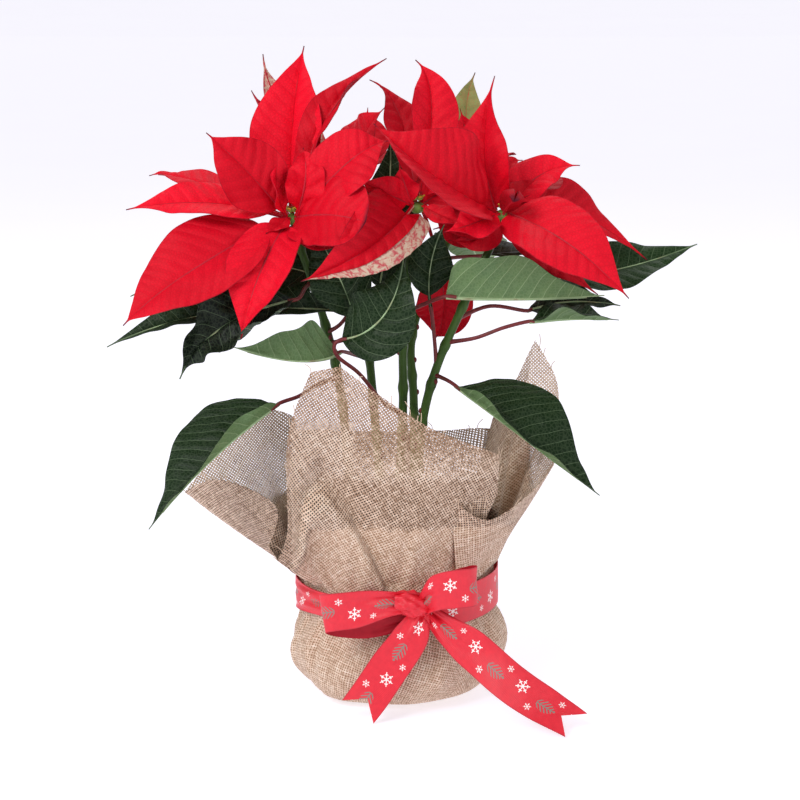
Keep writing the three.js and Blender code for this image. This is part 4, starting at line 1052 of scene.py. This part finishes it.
# The rows of a table with as many smooth steps between each two.
def smoothTable(rows, steps):
    rows = [Vector(row) for row in rows]
    rows = [2 * rows[0] - rows[1]] + rows + [2 * rows[-1] - rows[-2]]
    table = []
    for a, b, c, d in zip(rows, rows[1:], rows[2:], rows[3:]):
        for k in range(steps):
            t = k / steps
            bend = (2 * a - 5 * b + 4 * c - d) * t**2 + (3 * b - a - 3 * c + d) * t**3
            table.append(b + ((c - a) * t + bend) / 2)
    return table + [rows[-2]]


# Woven jute burlap: flat, dry, uneven threads that cross over and under with open holes between them,
# so that one layer can be seen through. Real ones lie a little over 1 mm apart, and these 1.6 mm, as
# coarse as they need to be to show. Where something lies close behind, the holes show a dull tan, or a
# dark brown that is painted shade where that is in its own shade. The threads carry painted shade too,
# and painted light at the top of the far side.
def makeBurlap():
    material, tree, shader = newMaterial(
        "wovenJuteBurlap", {"Roughness": 0.85, "IOR": 1.45, "Sheen Weight": 0.15, "Sheen Roughness": 0.5}
    )
    flat = addNode(tree, "UVMap", {"uv_map": "UVMap"}, {})
    wander = addNode(tree, "TexNoise", {}, {"Vector": flat, "Scale": 60.0, "Detail": 1.0})
    shift = addNode(tree, "VectorMath", {"operation": "SCALE"}, {0: wander.outputs["Color"], "Scale": 0.0012})
    moved = addNode(tree, "VectorMath", {"operation": "ADD"}, {0: flat, 1: shift})
    parts = addNode(tree, "SeparateXYZ", {}, {0: moved})
    masks, heights, tones = [], [], []
    half = math.pi / (wrap["thread"] * mm)
    for axis, stretch in (("X", (500.0, 30.0, 1.0)), ("Y", (30.0, 500.0, 1.0))):
        turn = addNode(tree, "Math", {"operation": "MULTIPLY"}, {0: parts.outputs[axis], 1: half})
        wave = addNode(tree, "Math", {"operation": "SINE"}, {0: turn})
        size = addNode(tree, "Math", {"operation": "ABSOLUTE"}, {0: wave})
        long = addNode(tree, "Mapping", {}, {0: moved, "Scale": stretch})
        slubs = addNode(tree, "TexNoise", {}, {"Vector": long, "Scale": 1.0, "Detail": 2.0})
        edges = [math.cos(math.pi * wrap["threadWidth"] * scale / wrap["thread"] / 2) for scale in (0.72, 1.3)]
        limit = addNode(tree, "MapRange", {}, {0: slubs, 1: 0.3, 2: 0.7, 3: edges[0], 4: edges[1]})
        rest = addNode(tree, "Math", {"operation": "SUBTRACT"}, {0: size, 1: limit})
        masks.append(addNode(tree, "MapRange", {}, {0: rest, 1: -0.06, 2: 0.06, 3: 0.0, 4: 1.0}))
        heights.append(size)
        tones.append(slubs)
    threads = addNode(tree, "Math", {"operation": "MAXIMUM"}, {0: masks[0], 1: masks[1]})
    share = addNode(tree, "Attribute", {"attribute_name": "share"}, {})
    split = addNode(tree, "SeparateColor", {}, {0: share.outputs["Color"]})
    cover = addNode(tree, "Math", {"operation": "MAXIMUM"}, {0: threads, 1: split.outputs[1]})
    weave = addNode(tree, "Math", {"operation": "MULTIPLY"}, {0: heights[0], 1: heights[1]})
    thick = addNode(tree, "Math", {"operation": "MAXIMUM"}, {0: heights[0], 1: heights[1]})
    relief = addNode(tree, "Math", {"operation": "ADD"}, {0: weave, 1: thick})
    fibre = addNode(tree, "TexNoise", {}, {"Vector": moved, "Scale": 2600.0, "Detail": 3.0})
    speck = addNode(tree, "TexNoise", {}, {"Vector": moved, "Scale": 480.0, "Detail": 2.0})
    streaks = addNode(tree, "Math", {"operation": "ADD"}, {0: tones[0], 1: tones[1]})
    tone = addNode(tree, "Math", {"operation": "MULTIPLY_ADD"}, {0: streaks, 1: 0.35, 2: speck})
    tone = addNode(tree, "Math", {"operation": "MULTIPLY_ADD"}, {0: fibre, 1: 0.5, 2: tone})
    # the share's third channel is painted shade, taken off the threads' tone; where it is negative it is
    # painted light
    toneLessPaintedShade = addNode(tree, "Math", {"operation": "SUBTRACT"}, {0: tone, 1: split.outputs[2]})
    spread = addNode(tree, "MapRange", {}, {0: toneLessPaintedShade, 1: 0.72, 2: 1.48, 3: 0.0, 4: 1.0})
    ramp = addNode(tree, "ValToRGB", {}, {0: spread})
    ramp.color_ramp.elements[0].color = linear("#9c795e")
    ramp.color_ramp.elements[1].color = linear("#fbead8")
    middle = ramp.color_ramp.elements.new(0.5)
    middle.color = linear("#e2c5ad")
    # the holes' colour: a dark brown as painted shade, up to a dull tan where they are wholly closed
    filling = addNode(tree, "MapRange", {}, {0: split.outputs[1], 1: 0.8, 2: 0.96, 3: 0.0, 4: 1.0})
    behind = addNode(tree, "Mix", {"data_type": "RGBA"}, {0: filling, 6: "#4c392c", 7: "#a07b5b"})
    final = addNode(tree, "Mix", {"data_type": "RGBA"}, {0: threads, 6: behind.outputs[2], 7: ramp})
    bump = addNode(tree, "Bump", {}, {"Strength": 0.7, "Distance": 0.0005, "Height": relief})
    connect(tree, shader, {"Base Color": final.outputs[2], "Alpha": cover, "Normal": bump})
    return material


# Single jute threads that have come loose: dry and matt, lighter than the cloth.
def makeLooseJute():
    material, tree, shader = newMaterial("looseJuteThread", {"Roughness": 0.9})
    place = addNode(tree, "TexCoord", {}, {})
    fibre = addNode(tree, "TexNoise", {}, {"Vector": place.outputs["Object"], "Scale": 900.0})
    colour = addNode(tree, "Mix", {"data_type": "RGBA"}, {0: fibre, 6: "#b5967a", 7: "#ecd4bc"})
    connect(tree, shader, {"Base Color": colour.outputs[2]})
    return material


# How far the holes are closed by colour for what lies behind them: wholly on the pot, half where the
# front is double, most of the way over the shaded inside of the wrap, and not at all in the free flaps.
# Short of wholly closed, that colour is mostly a dark brown, which is painted shade.
def filledAt(point):
    x, y, z = point
    onPot = (1 - ease(z, 119.5, 122.5)) * (1 - ease(math.hypot(x, y), 80, 88))
    side = x + (26 if z > 154 else 56 - 0.75 * (154 - z))
    double = 0.5 * (1 - ease(side, -2, 2)) * (1 - ease(z, 184, 190))
    inner = 0.8 * ease(side, -2, 2) * (1 - ease(z, 150, 156))
    if x > 60 and y > -15:  # the lining of the right wing
        return max(onPot, (1 - ease(x, 86, 89)) * (1 - ease(z, 172, 176)))
    # painted shade: the left wing's holes are closed most of the way in dark brown over its shaded inside
    if x < -66 and y < -12:  # the left wing, over its own shaded inside
        return max(onPot, 0.8 * (1 - ease(z, 146, 152)))
    return max(onPot, double, inner) if y < -45 and z > 121 else onPot


# The bare cloth laid flat, panel by panel, at its true size: one flat place for each corner of a face.
def layFlat(count, last, waistRow):
    bare = [strandAt(k / count, True) for k in range(count)]
    cuts = {round(panel[0] * count / len(wrapEdge)) for panel in wrapPanels}
    sheet = shapedGrid("bareCloth", count, last, lambda u, v: (
        bare[round((u + 1) / 2 * count) % count][round((v + 1) / 2 * last)],
        (round((u + 1) / 2 * count), round((v + 1) / 2 * last)), (0, 0, 0, 0)))
    mesh = sheet.data
    uv = mesh.uv_layers[0].data
    spots = [(round(uv[i].uv[0] / mm), round(uv[i].uv[1] / mm)) for i in range(len(uv))]
    ofVertex = {loop.vertex_index: spots[loop.index] for loop in mesh.loops}
    baseRow = wrap["baseRows"]
    for edge in mesh.edges:
        (k1, row1), (k2, row2) = [ofVertex[i] for i in edge.vertices]
        edge.use_seam = (k1 == k2 and k1 in cuts) or (row1 == row2 and row1 in (baseRow, waistRow))
    bpy.ops.object.mode_set(mode="EDIT")
    bpy.ops.mesh.select_all(action="SELECT")
    bpy.ops.uv.unwrap(method="MINIMUM_STRETCH", margin=0.01)
    bpy.ops.object.mode_set(mode="OBJECT")
    uv = mesh.uv_layers[0].data
    places = [uv[i].uv.copy() for i in range(len(uv))]
    islands = {}
    for polygon in mesh.polygons:
        k, row = [min(spots[i][c] for i in polygon.loop_indices) for c in (0, 1)]
        panel = next(n for n, p in enumerate(wrapPanels) if k < p[1] * count / len(wrapEdge))
        part = 0 if row < baseRow else 1 if row < waistRow else 2
        islands.setdefault((panel, part), []).append(polygon)
    for (panel, part), polygons in islands.items():
        low, high, *leans = wrapPanels[panel]
        middle = round((low + high) / 2 * count / len(wrapEdge))
        rows = ((2, baseRow - 2), (baseRow + 2, waistRow - 2), (waistRow + 2, waistRow + 16))[part]
        ends, flatArea = {}, 0
        for polygon in polygons:
            corners = [places[i] for i in polygon.loop_indices]
            following = corners[1:] + corners[:1]
            flatArea += abs(sum(a.x * b.y - b.x * a.y for a, b in zip(corners, following))) / 2
            for i in polygon.loop_indices:
                if spots[i][0] == middle and spots[i][1] in rows:
                    ends[spots[i][1]] = places[i].copy()
        scale = math.sqrt(sum(polygon.area for polygon in polygons) / flatArea)
        up = ends[rows[1]] - ends[rows[0]]
        turn = math.radians(leans[1 if part == 2 else 0]) + math.pi / 2 - math.atan2(up.y, up.x)
        for polygon in polygons:
            for i in polygon.loop_indices:
                x, y = (places[i] - ends[rows[0]]) * scale
                cos, sin = math.cos(turn), math.sin(turn)
                places[i] = Vector((x * cos - y * sin, x * sin + y * cos))
    bpy.data.objects.remove(sheet)
    return places


def makeWrap():
    count = wrap["strands"]
    strands = [strandAt(k / count, False) for k in range(count)]
    last = len(strands[0]) - 1
    places = layFlat(count, last, last - wrap["freeRows"])

    def place(u, v):
        k, row = round((u + 1) / 2 * count), round((v + 1) / 2 * last)
        point = strands[k % count][row]
        filled = filledAt(point)
        # Painted shade on the threads, carried in the third share: around holes closed over the shaded inside,
        # and rising towards the top of the open front flap. Where it is negative, at the far side's top, it is
        # painted light.
        shade = 0.14 * math.exp(-(((filled - 0.8) / 0.1) ** 2))
        if point[1] < -40 and filled < 0.5:  # the open front flap
            shade += 0.3 * ease(point[2], 148, 180) * (1 - 2 * filled)
        if point[1] > 25:  # the far side, with light coming through
            shade -= 0.4 * ease(point[2], 135, 155)
        return point, (k, row), (row / last, filled, shade, 0)

    piece = shapedGrid("burlapWrap", count, last, place)
    uv = piece.data.uv_layers[0].data
    for i, flatPlace in enumerate(places):
        uv[i].uv = flatPlace
    closeSeams(piece)
    piece.data.materials.append(makeBurlap())
    applyModifier(piece, "SOLIDIFY", thickness=wrap["thickness"] * mm, offset=0)
    smoothFaces(piece, 70)
    jute = makeLooseJute()
    parts = [piece]
    while len(parts) <= wrap["loose"]:  # ends of thread that stick out of the cut edge
        k = random.randrange(count)
        edge = strands[k][last]
        out = (edge - strands[k][last - 1]).normalized()
        side = (strands[(k + 1) % count][last] - edge).normalized() * random.uniform(-0.7, 0.7)
        reach = random.uniform(2, 7)
        bend, end = edge + (out + side * 0.2) * reach * 0.5, edge + (out + side) * reach
        points = smoothPath([edge - out * 2, bend, end], 3)
        parts.append(stalkAlong("looseThread", points, [wrap["looseRadius"]] * len(points), jute, 1))
    piece = joinPieces("burlapWrap", parts)
    handOver(piece, "burlap", "wrap")


makeWrap()
print("wrap made")

# The ribbon, tied round the waist in a bow. band is the radius of its round, notch how deep the tails
# are cut, and repeat the length after which the print comes again.
ribbon = dict(width=25, thickness=0.45, band=66.5, notch=11, repeat=38, rib=0.9)
# Each motif's place along and across the ribbon, and its scale: three snow crystals and a fir sprig.
printMotifs = [(9.5, -2.8, 1.0), (19.0, 6.4, 0.55), (29.0, 0.5, 1.0), (35.5, -7.0, 0.5)]
# Each run's middle line, the way its width points at each place, and the share of its width that is
# spread there. The rest is gathered into creases.
ribbonRuns = {
    "leftLoop": dict(
        path=[(14, -75, 76), (-4, -80, 77), (-24, -84, 74.5), (-40, -84, 72.5), (-46, -79, 70), (-40, -73, 66),
              (-20, -71.5, 63.5), (0, -73, 66), (12, -73, 71)],
        halves=[(0.1, 0, 1), (0.05, 0, 1), (0.02, 0, 1), (-0.12, -0.05, 1), (-0.14, 0, 1), (-0.1, 0, 1),
                (0, 0, 1), (0, 0, 1), (0, 0, 1)],
        widths=[0.5, 0.66, 0.95, 1, 1, 1, 0.95, 0.7, 0.5], start=6,
    ),
    "rightLoop": dict(
        path=[(15, -75, 74), (18.5, -80.5, 79), (24, -85, 85.5), (36, -86.5, 88.3), (46.5, -84, 88.6),
              (50, -79.5, 88.6), (48, -75.5, 88.2), (36, -73, 85), (24, -73, 79), (16, -72, 73)],
        halves=[(0.5, 0, -1), (0.4, 0, -1), (0.15, 0, -1), (0, 0, -1), (0, 0, -1), (0, 0, -1), (0, 0, -1),
                (0, 0, -1), (0, 0, -1), (0, 0, -1)],
        widths=[0.4, 0.62, 0.92, 1, 1, 1, 1, 0.95, 0.7, 0.4], start=20,
    ),
    "leftTail": dict(
        path=[(15, -76, 70), (9, -79, 56), (-6, -81, 34), (-16, -81, 18.5), (-24.5, -80, 6.2)],
        halves=[(-0.9, 0, 0.2), (-0.85, 0, 0.45), (-0.82, 0.1, 0.56), (-0.82, 0.2, 0.56), (-0.8, 0.35, 0.5)],
        widths=[0.5, 0.9, 1, 1, 1], start=0, tail=1,
    ),
    "rightTail": dict(
        path=[(20, -75, 70), (31, -78, 60), (48, -82, 47), (73, -90, 27), (111, -102, 5.6)],
        halves=[(-0.6, 0, -0.8), (-0.6, -0.05, -0.8), (-0.55, -0.1, -0.85), (-0.52, -0.35, -0.65),
                (-0.6, -0.7, -0.36)],
        widths=[0.35, 0.7, 1, 1, 1], start=11, tail=1,
    ),
}
knot = dict(place=(9.5, -75, 75.5), size=(11, 8.8, 7.6))


# Woven satin: smooth and softly glossy, with fine cross ribs and a darker selvedge, printed with white
# snow crystals and silver-grey sprigs of fir.
def makeSatin():
    material, tree, shader = newMaterial(
        "wovenSatinRibbon", {"IOR": 1.5, "Sheen Weight": 0.12, "Sheen Roughness": 0.35, "Sheen Tint": "#ff8080"}
    )
    flat = addNode(tree, "UVMap", {"uv_map": "UVMap"}, {})
    parts = addNode(tree, "SeparateXYZ", {}, {0: flat})
    across, along = parts.outputs["X"], parts.outputs["Y"]
    ribRate = 2 * math.pi / (ribbon["rib"] * mm)
    ribTurn = addNode(tree, "Math", {"operation": "MULTIPLY"}, {0: along, 1: ribRate})
    ribs = addNode(tree, "Math", {"operation": "SINE"}, {0: ribTurn})
    weave = addNode(tree, "TexNoise", {}, {"Vector": flat, "Scale": 240.0, "Detail": 3.0})
    side = addNode(tree, "Math", {"operation": "ABSOLUTE"}, {0: across})
    selvedge = addNode(tree, "MapRange", {}, {0: side, 1: 11.7 * mm, 2: 12.2 * mm, 3: 0.0, 4: 0.55})
    red = addNode(tree, "Mix", {"data_type": "RGBA"}, {0: weave, 6: "#d2112a", 7: "#ef2638"})
    edged = addNode(tree, "Mix", {"data_type": "RGBA"}, {0: selvedge, 6: red.outputs[2], 7: "#a80f24"})
    motifs = []
    for middle, offset, scale in printMotifs:
        ends = [(middle + side * ribbon["repeat"] / 2) * mm for side in (1, -1)]
        wrapped = addNode(tree, "Math", {"operation": "WRAP"}, {0: along, 1: ends[0], 2: ends[1]})
        y = addNode(tree, "Math", {"operation": "SUBTRACT"}, {0: wrapped, 1: middle * mm})
        x = addNode(tree, "Math", {"operation": "SUBTRACT"}, {0: across, 1: offset * mm})
        y = addNode(tree, "Math", {"operation": "DIVIDE"}, {0: y, 1: scale * mm})
        x = addNode(tree, "Math", {"operation": "DIVIDE"}, {0: x, 1: scale * mm})
        motifs.append((x, y))
    crystals = []
    for x, y in (motifs[0], motifs[1], motifs[3]):  # six arms, with barbs on a ring
        turn = addNode(tree, "Math", {"operation": "ARCTAN2"}, {0: y, 1: x})
        three = addNode(tree, "Math", {"operation": "MULTIPLY"}, {0: turn, 1: 3.0})
        swing = addNode(tree, "Math", {"operation": "SINE"}, {0: three})
        spot = addNode(tree, "CombineXYZ", {}, {0: x, 1: y})
        reach = addNode(tree, "VectorMath", {"operation": "LENGTH"}, {0: spot})
        radius = reach.outputs["Value"]
        swung = addNode(tree, "Math", {"operation": "ABSOLUTE"}, {0: swing})
        off = addNode(tree, "Math", {"operation": "MULTIPLY"}, {0: swung, 1: radius})
        arm = addNode(tree, "Math", {"operation": "LESS_THAN"}, {0: off, 1: 0.85})
        short = addNode(tree, "Math", {"operation": "LESS_THAN"}, {0: radius, 1: 4.6})
        arms = addNode(tree, "Math", {"operation": "MULTIPLY"}, {0: arm, 1: short})
        ring = addNode(tree, "Math", {"operation": "COMPARE"}, {0: radius, 1: 3.0, 2: 0.36})
        near = addNode(tree, "Math", {"operation": "LESS_THAN"}, {0: off, 1: 2.6})
        barbs = addNode(tree, "Math", {"operation": "MULTIPLY"}, {0: ring, 1: near})
        crystals.append(addNode(tree, "Math", {"operation": "MAXIMUM"}, {0: arms, 1: barbs}))
    pair = addNode(tree, "Math", {"operation": "MAXIMUM"}, {0: crystals[0], 1: crystals[1]})
    white = addNode(tree, "Math", {"operation": "MAXIMUM"}, {0: pair, 1: crystals[2]})
    x, y = motifs[2]  # a twig with slanting rows of needles
    aside = addNode(tree, "Math", {"operation": "ABSOLUTE"}, {0: x})
    place = addNode(tree, "Math", {"operation": "MULTIPLY_ADD"}, {0: y, 1: 0.135, 2: 0.15})
    square = addNode(tree, "Math", {"operation": "MULTIPLY"}, {0: place, 1: place})
    taper = addNode(tree, "Math", {"operation": "MULTIPLY_ADD"}, {0: square, 1: -4.2, 2: 4.2})
    inside = addNode(tree, "Math", {"operation": "LESS_THAN"}, {0: aside, 1: taper})
    tall = addNode(tree, "Math", {"operation": "COMPARE"}, {0: y, 1: 0.0, 2: 7.0})
    lean = addNode(tree, "Math", {"operation": "MULTIPLY_ADD"}, {0: aside, 1: -0.9, 2: y})
    rows = addNode(tree, "Math", {"operation": "PINGPONG"}, {0: lean, 1: 1.25})
    needle = addNode(tree, "Math", {"operation": "LESS_THAN"}, {0: rows, 1: 0.5})
    twig = addNode(tree, "Math", {"operation": "LESS_THAN"}, {0: aside, 1: 0.4})
    both = addNode(tree, "Math", {"operation": "MAXIMUM"}, {0: needle, 1: twig})
    shape = addNode(tree, "Math", {"operation": "MULTIPLY"}, {0: inside, 1: tall})
    silver = addNode(tree, "Math", {"operation": "MULTIPLY"}, {0: shape, 1: both})
    share = addNode(tree, "Attribute", {"attribute_name": "share"}, {})
    printed = addNode(tree, "Math", {"operation": "MULTIPLY"}, {0: silver, 1: share.outputs["Alpha"]})
    printedWhite = addNode(tree, "Math", {"operation": "MULTIPLY"}, {0: white, 1: share.outputs["Alpha"]})
    sprigged = addNode(tree, "Mix", {"data_type": "RGBA"}, {0: printed, 6: edged.outputs[2], 7: "#8c7f76"})
    final = addNode(tree, "Mix", {"data_type": "RGBA"}, {0: printedWhite, 6: sprigged.outputs[2], 7: "#fff6f2"})
    gloss = addNode(tree, "MapRange", {}, {0: weave, 1: 0.3, 2: 0.7, 3: 0.36, 4: 0.46})
    height = addNode(tree, "Math", {"operation": "MULTIPLY_ADD"}, {0: weave, 1: 0.6, 2: ribs})
    bump = addNode(tree, "Bump", {}, {"Strength": 0.35, "Distance": 0.0002, "Height": height})
    connect(tree, shader, {"Base Color": final.outputs[2], "Roughness": gloss, "Normal": bump})
    return material


# The ribbon's wrong side: the same weave without print and duller, in a darker red that is painted shade for
# the insides of the loops and tails.
def makeShadedSatinBack():
    material, tree, shader = newMaterial(
        "satinWrongSidePaintedShade", {"Roughness": 0.62, "IOR": 1.45, "Specular IOR Level": 0.3}
    )
    flat = addNode(tree, "UVMap", {"uv_map": "UVMap"}, {})
    weave = addNode(tree, "TexNoise", {}, {"Vector": flat, "Scale": 240.0, "Detail": 3.0})
    red = addNode(tree, "Mix", {"data_type": "RGBA"}, {0: weave, 6: "#a00c20", 7: "#c01a2c"})
    bump = addNode(tree, "Bump", {}, {"Strength": 0.35, "Distance": 0.0002, "Height": weave})
    connect(tree, shader, {"Base Color": red.outputs[2], "Normal": bump})
    return material


satin = makeSatin()
satinBackShaded = makeShadedSatinBack()


def makeRun(name):
    run = ribbonRuns[name]
    path = smoothPath(run["path"], 14)
    halves = smoothPath([tuple(Vector(h).normalized()) for h in run["halves"]], 14)
    widths = smoothPath([(w, 0, 0) for w in run["widths"]], 14)
    lengths = [0]
    for a, b in zip(path, path[1:]):
        lengths.append(lengths[-1] + (b - a).length)
    last, total = len(path) - 1, lengths[-1]

    def place(u, v):
        k = round((v + 1) / 2 * last)
        half = halves[k].normalized() * ribbon["width"] / 2
        before, after = path[max(0, k - 1)], path[min(last, k + 1)]
        along = (after - before).normalized()
        normal = half.normalized().cross(along)
        width = min(1, widths[k].x)
        point = path[k] + half * u * width
        folds = math.sin(u * 7.5 + lengths[k] * 0.05) + 0.6 * math.sin(u * 13 + 1.2 - lengths[k] * 0.04)
        point += normal * (2.6 * (1 - width) * folds + 0.4 * math.sin(lengths[k] / 9 + 1.5 * u))
        point += normal * 0.6 * noise.noise(Vector((u * 1.2, lengths[k] / 14, len(name))))
        distance = run["start"] + lengths[k]
        if run.get("tail"):  # a fishtail end
            back = ribbon["notch"] * (1 - abs(u)) * ease(lengths[k], total - 18, total)
            point -= along * back
            distance -= back
        return point, (u * ribbon["width"] / 2, distance), (abs(u), k / last, 0.5, 1)

    piece = shapedGrid(name, 26, last, place)
    piece.data.materials.append(satin)
    piece.data.materials.append(satinBackShaded)
    applyModifier(piece, "SOLIDIFY", thickness=ribbon["thickness"] * mm, offset=0, material_offset=1)
    return piece


def makeRibbon():
    def band(u, v):
        turn = math.pi * u
        tight = math.exp(-(((math.degrees(turn) % 360 - 222) / 38) ** 2))  # drawn into creases at the left
        spread = (1 - 0.36 * tight) * ribbon["width"] / 2
        height = wrap["waistHeight"] + wrap["waistTilt"] * math.cos(turn) + v * spread + 3 * tight
        crease = 0.35 * noise.noise(Vector((math.cos(turn) * 4, math.sin(turn) * 4, v * 0.8)))
        crease += 0.9 * tight * (math.sin(7 * v + 3 * turn) + 0.5 * math.sin(12 * v - 5 * turn))
        radius = ribbon["band"] + crease
        point = (radius * math.cos(turn), radius * math.sin(turn), height)
        return point, (v * ribbon["width"] / 2, turn * 66), (abs(v), 0.5, 0.5, 1)

    hoop = shapedGrid("band", 220, 20, band)
    closeSeams(hoop)
    hoop.data.materials.append(satin)
    applyModifier(hoop, "SOLIDIFY", thickness=ribbon["thickness"] * mm, offset=0)
    parts = [hoop] + [makeRun(name) for name in ribbonRuns]

    def knotShape(u, v):  # the ribbon wound once, tight and creased, round the crossing
        around, s = math.pi * v, u
        folds = math.sin(around * 5 + s * 4.5) + 0.7 * math.sin(around * 9 - s * 6 + 1) + 0.5 * math.sin(s * 11)
        radius = (1 - 0.42 * s * s) * (1 + 0.085 * folds)
        x, y, z = knot["place"]
        w, d, h = knot["size"]
        y += d * radius * math.cos(around) + 1.5 * s
        z += h * radius * math.sin(around) - 2.5 * s
        return (x + w * s, y, z), (s * ribbon["width"] / 2, around * 7), (abs(s), 0.5, 0.5, 0)

    tie = shapedGrid("knot", 36, 64, knotShape)
    closeSeams(tie)
    tie.data.materials.append(satin)
    applyModifier(tie, "SOLIDIFY", thickness=ribbon["thickness"] * mm, offset=0)
    parts.append(tie)
    piece = joinPieces("ribbonBow", parts)
    smoothFaces(piece, 70)
    handOver(piece, "ribbon", "ribbon")


makeRibbon()
print("ribbon made")

# The floor and the studio's light. Lengths are in metres here. lift is the paper's own glow, and each
# lamp has its place, size and power in watts.
studio = dict(
    floor="#c6c3d2", floorPale="#cac8d5", lift=0.63, size=60, sweep=(16, 30), rise=2.2,
    sky=(0.97, 0.97, 1.0), skyStrength=0.54, aim=(0, 0, 0.22),
    lamps=[((-1.3, -1.5, 1.7), 1.0, 32.5), ((1.5, -1.3, 1.2), 1.6, 5), ((0.2, 1.2, 1.9), 1.5, 11)],
)


# Seamless paper: matt and pale, and lit evenly enough that only the soft shade by the pot shows.
def makeStudio():
    bpy.ops.mesh.primitive_grid_add(
        x_subdivisions=40, y_subdivisions=40, size=studio["size"], location=(0, 0, -0.0002)
    )
    floor = bpy.context.object
    floor.name = "paperFloor"
    for vertex in floor.data.vertices:  # far off, the paper sweeps up to hide its end
        vertex.co.z = studio["rise"] * ease(math.hypot(vertex.co.x, vertex.co.y), *studio["sweep"])
    material, tree, shader = newMaterial(
        "seamlessPaper", {"Roughness": 0.9, "Emission Color": "#fdfcff", "Emission Strength": studio["lift"]}
    )
    place = addNode(tree, "TexCoord", {}, {})
    grain = addNode(tree, "TexNoise", {}, {"Vector": place.outputs["Object"], "Scale": 3.0, "Detail": 1.0})
    colour = addNode(tree, "Mix", {"data_type": "RGBA"}, {0: grain, 6: studio["floor"], 7: studio["floorPale"]})
    connect(tree, shader, {"Base Color": colour.outputs[2]})
    floor.data.materials.append(material)
    world = bpy.data.worlds.new("studio")
    world.use_nodes = True
    world.node_tree.nodes["Background"].inputs["Color"].default_value = (*studio["sky"], 1)
    world.node_tree.nodes["Background"].inputs["Strength"].default_value = studio["skyStrength"]
    bpy.context.scene.world = world
    for place, size, energy in studio["lamps"]:
        bpy.ops.object.light_add(type="AREA", location=place)
        lamp = bpy.context.object
        lamp.data.size = size
        lamp.data.energy = energy
        lamp.rotation_euler = (Vector(studio["aim"]) - Vector(place)).to_track_quat("-Z", "Y").to_euler()


makeStudio()
